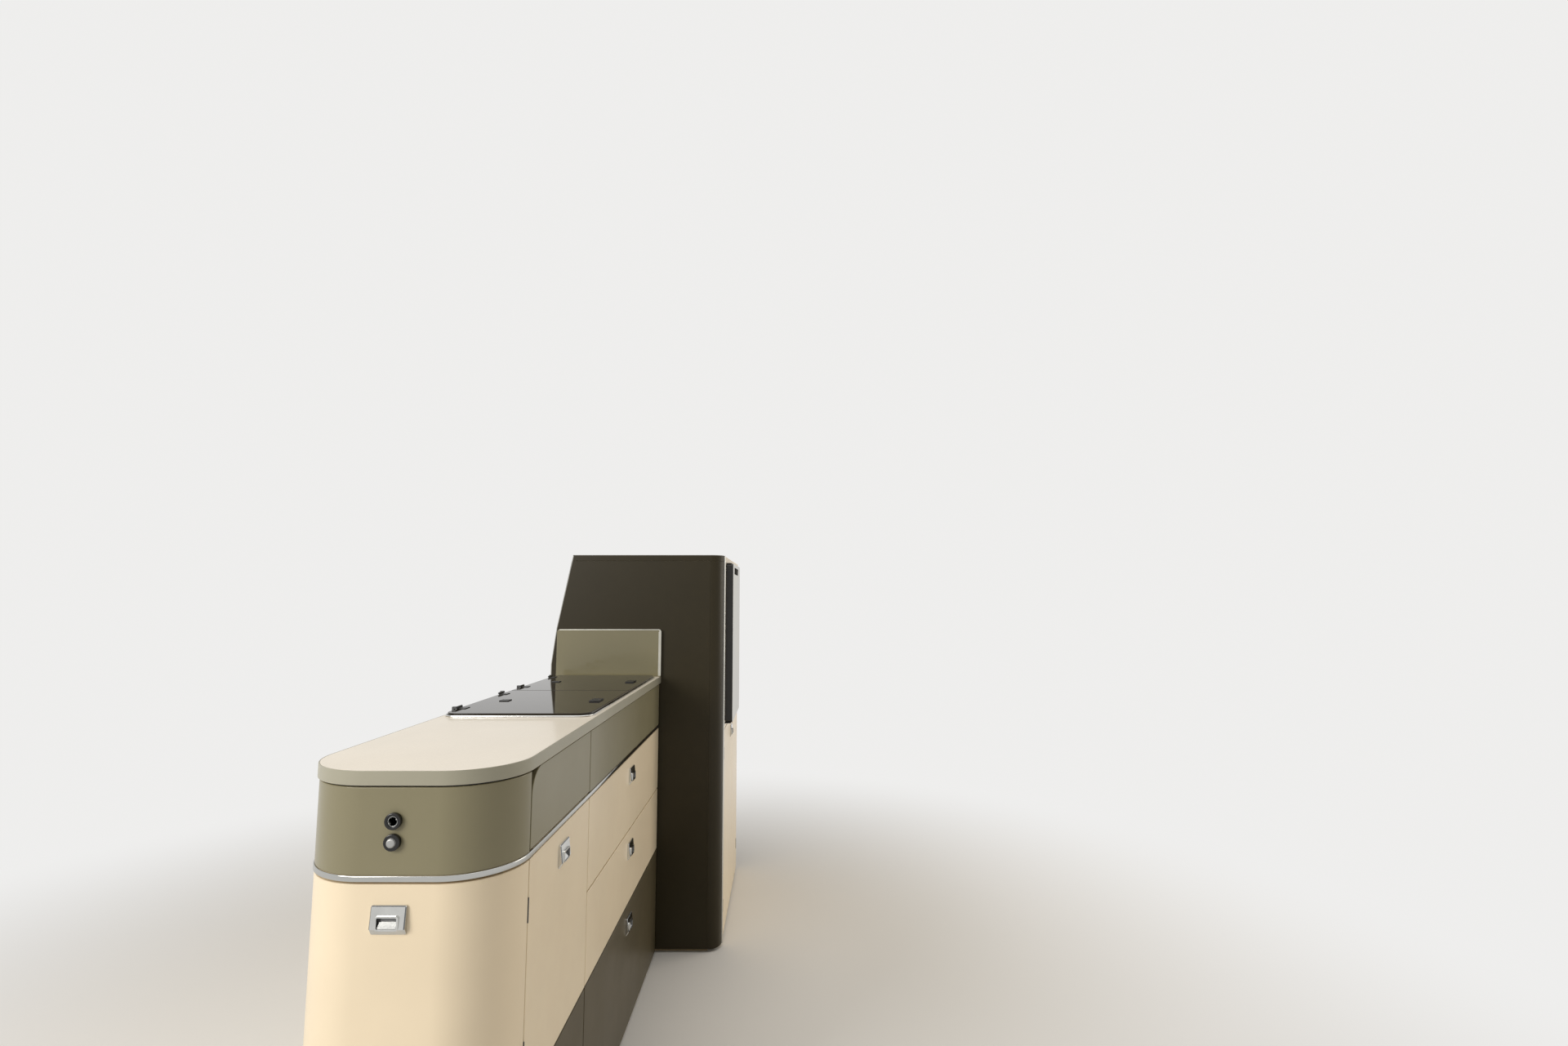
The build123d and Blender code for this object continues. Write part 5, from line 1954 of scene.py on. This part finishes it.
@dataclass
class Fridge:
    """Fridge box, wire shelves, and door with its bins, in millimetres."""

    shop: Workshop
    wall: float = 32.0
    shelf_thickness: float = 5.0
    shelf_gap: float = 0.4
    shelf_frame: float = 2.2
    shelf_wire: float = 1.3
    shelf_bars: tuple[float, float] = (0.33, 0.67)
    wire_pitch: float = 13.0
    rail_width: float = 7.0
    rail_height: float = 4.5
    rail_inset: float = 6.0
    rail_lap: float = 0.2
    rail_edge: float = 1.2
    handle_drop: float = 12.0
    handle_height: float = 24.0
    handle_depth: float = 15.0
    handle_margin: float = 30.0
    face_depth: float = 0.4
    face_slope: float = 0.7
    plate_slope: float = 0.9
    door_thickness: float = 25.0
    gasket_start: float = 0.5
    bins: Pairs = ((8.0, 90.0), (190.0, 60.0), (345.0, 60.0))
    bin_gap: float = 10.0
    bin_depth: float = 50.0
    bin_sunk: float = 0.4
    bin_lean: float = 3.0
    bin_wall: float = 2.4
    bin_corner: float = 8.0
    bin_edge: float = 0.7
    bin_rail: float = 1.8
    bin_rail_rise: float = 14.0

    def build(self) -> None:
        """Make the box, the shelves, the door and its bins."""
        self.shop.coated(Coat("fridge_body", Look.FRIDGE_LINER, edge=3.0, steps=4))
        self._shelves()
        self._rails()
        self._door()
        self._bins()

    def _shelves(self) -> None:
        """Two wire shelves."""
        low, high = self.shop.box("fridge_shelves")
        inset = self.shelf_frame + self.shelf_gap
        x0, x1, y0, y1 = low.x + inset, high.x - inset, low.y + inset, high.y - inset
        count = int((x1 - x0) // self.wire_pitch)
        frames, bars = [], []
        for level in (low.z, high.z - self.shelf_thickness):
            z = level + self.shelf_frame
            frames.append([(x0, y0, z), (x1, y0, z), (x1, y1, z), (x0, y1, z), (x0, y0, z)])
            for share in self.shelf_bars:
                y = y0 + share * (y1 - y0)
                frames.append([(x0, y, z), (x1, y, z)])
            bar_z = z + self.shelf_frame - self.shelf_gap
            for bar in range(1, count):
                x = x0 + (x1 - x0) * bar / count
                bars.append([(x, y0, bar_z), (x, y1, bar_z)])
        self.shop.wires(frames, self.shelf_frame, Tag(
            "fridge_shelf_frames", Look.SHELF_WIRE, "fridge_white", replaced=("fridge_shelves",)))
        self.shop.wires(bars, self.shelf_wire,
                        Tag("fridge_shelf_wires", Look.SHELF_WIRE, "fridge_white"))

    def _rails(self) -> None:
        """Moulded rails that the shelves lie on."""
        low, high = self.shop.box("fridge_shelves")
        depth = high.y - low.y - 2 * self.rail_inset
        rail = box_mesh("rail", ORIGIN, (self.rail_width, depth, self.rail_height))
        start = (low.x - self.rail_lap, low.y + self.rail_inset,
                 low.z - self.rail_height - self.rail_lap)
        across = high.x - low.x - self.rail_width + 2 * self.rail_lap
        rise = high.z - self.shelf_thickness - low.z
        places = Places(start, (across, 0.0, 0.0), 2, (0.0, 0.0, rise), 2)
        rails = self.shop.grown(self.shop.rows, rail,
                                Tag("fridge_rails", Look.FRIDGE_LINER, "fridge_white"),
                                **places.inputs())
        self.shop.rounded(rails, self.rail_edge, steps=3)

    def _door(self) -> None:
        """Dark door with a silver face, a grip, a pale inner plate and a grey gasket."""
        shop = self.shop
        low, high = shop.box("fridge_door")
        face = low.y + self.face_depth
        gasket = low.y + self.door_thickness + self.gasket_start
        grip_top = high.z - self.handle_drop
        grip_start, grip_end = low.x + self.handle_margin, high.x - self.handle_margin

        def in_grip(spot: Vector, _: Vector) -> bool:
            """Whether a face lines the grip that is sunk into the door."""
            return (grip_start < spot.x < grip_end and face < spot.y < low.y + self.handle_depth
                    and grip_top - self.handle_height < spot.z < grip_top)

        door = shop.coated(Coat("fridge_door", Look.BLACK_PLASTIC, edge=1.6))
        shop.tint(door, Look.FRIDGE_FACE,
                  lambda spot, normal: normal.y < -self.face_slope and spot.y < face)
        shop.tint(door, Look.DARK_GRIP, in_grip)
        shop.tint(door, Look.FRIDGE_LINER,
                  lambda spot, normal: normal.y > self.plate_slope and spot.y < gasket)
        shop.tint(door, Look.SEAL_GREY, lambda spot, _: spot.y > gasket)

    def _bins(self) -> None:
        """Open bins on the inner side of the door, with a wire rail above each."""
        shop = self.shop
        inner_low, inner_high = shop.box("fridge_body")
        x0 = inner_low.x + self.wall + self.bin_gap
        x1 = inner_high.x - self.wall - self.bin_gap
        y0 = shop.box("fridge_door")[0].y + self.door_thickness - self.bin_sunk
        y1, lean = y0 + self.bin_depth, self.bin_lean
        troughs, rails = [], []
        for rise, height in self.bins:
            z0 = inner_low.z + self.wall + rise
            z1 = z0 + height
            rim = [(x0, y0, z1), (x1, y0, z1), (x1, y1, z1), (x0, y1, z1)]
            floor = [(x0 + lean, y0, z0), (x1 - lean, y0, z0), (x1 - lean, y1 - lean, z0),
                     (x0 + lean, y1 - lean, z0)]
            faces = [(0, 3, 2, 1), (0, 1, 5, 4), (1, 2, 6, 5), (2, 3, 7, 6), (3, 0, 4, 7)]
            troughs.append(mesh_from("trough", floor + rim, faces))
            top = z1 + self.bin_rail_rise
            rails.append([(x0 + lean, y0, top), (x0 + lean, y1 - lean, top),
                          (x1 - lean, y1 - lean, top), (x1 - lean, y0, top)])
        bins = shop.place(joined("fridge_bins", troughs),
                          Tag("fridge_bins", Look.BIN_PLASTIC, "fridge_white", "fridge_door"))
        corner = bins.modifiers.new("corners", "BEVEL")
        corner.width = self.bin_corner * MM
        corner.segments = 4
        corner.limit_method = "ANGLE"
        wall = bins.modifiers.new("wall", "SOLIDIFY")
        wall.thickness = self.bin_wall * MM
        wall.offset = -1.0
        shop.rounded(settle(bins), self.bin_edge)
        shop.wires(rails, self.bin_rail,
                   Tag("fridge_bin_rails", Look.SHELF_WIRE, "fridge_white", "fridge_door"))


@dataclass
class Carcass:
    """Boards, backs, decks, hinges and their screws, in millimetres."""

    shop: Workshop
    level: tuple[str, ...] = ("base_board", "run_decks", "tall_base", "tall_shelves")
    crosswise: tuple[str, ...] = ("run_uprights", "tall_uprights")
    lengthwise: tuple[str, ...] = ("back_board", "tall_back")
    board_edge: float = 0.6
    edge_slope: float = 0.3
    far_slope: float = 0.9
    far_depth: float = 1.0
    hinge_x: float = -944.75
    hinge_y: float = -148.4
    hinge_heights: tuple[float, float] = (410.25, 633.0)
    hinge_screw_radius: float = 2.8
    hinge_screw_pitch: float = 22.0
    back_screw_radius: float = 4.0
    back_screw_margins: tuple[float, float] = (25.0, 30.0)
    back_screws: tuple[int, int] = (9, 3)

    def build(self) -> None:
        """Make the boards, the hinge blocks and the screws."""
        for nodes, finish, edge, axis in (
            (self.level, Look.CARCASS_BOARD, Look.PLY_EDGE_LEVEL, 2),
            (self.crosswise, Look.CARCASS_UPRIGHT, Look.PLY_EDGE_LENGTH, 0),
            (self.lengthwise, Look.CARCASS_UPRIGHT, Look.PLY_EDGE_DEPTH, 1),
        ):
            for node in nodes:
                piece = self.shop.coated(Coat(node, finish, self.board_edge, steps=2))
                self.shop.tint(piece, edge, lambda _, normal: abs(normal[axis]) < self.edge_slope)
        self._far_side()
        self._hinges()
        self._back_screws()

    def _far_side(self) -> None:
        """Dark laminate on the outer face of the cabinet's far side."""
        far_x = self.shop.box("tall_uprights")[1].x - self.far_depth
        self.shop.tint(bpy.data.objects["tall_uprights_piece"], Look.GRAPHITE_PANEL,
                       lambda spot, normal: normal.x > self.far_slope and spot.x > far_x)

    def _hinges(self) -> None:
        """End door's hinge blocks, with two screws in each."""
        self.shop.coated(Coat("door_hinges", Look.DARK_STEEL, edge=0.5, steps=2))
        low, high = self.hinge_heights
        start = (self.hinge_x, self.hinge_y, low - self.hinge_screw_pitch / 2)
        places = Places(start, (0.0, 0.0, self.hinge_screw_pitch), 2, (0.0, 0.0, high - low), 2)
        self.shop.screws("end_hinge_screws", self.hinge_screw_radius, TO_NEAR_END, places)

    def _back_screws(self) -> None:
        """Rows of screws in the back board's wall side."""
        low, high = self.shop.box("back_board")
        margin_x, margin_z = self.back_screw_margins
        across, up = self.back_screws
        step = (high.x - low.x - 2 * margin_x) / (across - 1)
        rise = (high.z - low.z - 2 * margin_z) / (up - 1)
        places = Places((low.x + margin_x, high.y, low.z + margin_z), (step, 0.0, 0.0), across,
                        (0.0, 0.0, rise), up)
        self.shop.screws("back_board_screws", self.back_screw_radius, TO_WALL, places)


def main() -> None:
    """Load the frame, build each sub-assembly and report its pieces."""
    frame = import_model()
    Studio().build()
    log.info("Studio: floor, world, lamps and camera")
    shop = Workshop(frame, Palette())
    for part in (LowRun(shop), Latches(shop), Drawers(shop), SinkHobUnit(shop), TallCabinet(shop),
                 Fridge(shop), Carcass(shop)):
        shop.made.clear()
        part.build()
        for piece in shop.made:
            log.info("%s: %s", type(part).__name__, piece)
    for name, node in sorted(frame["nodes"].items()):
        if not node.hide_render:
            log.info("node shown as packed: %s", name)


if __name__ == "__main__":
    main()
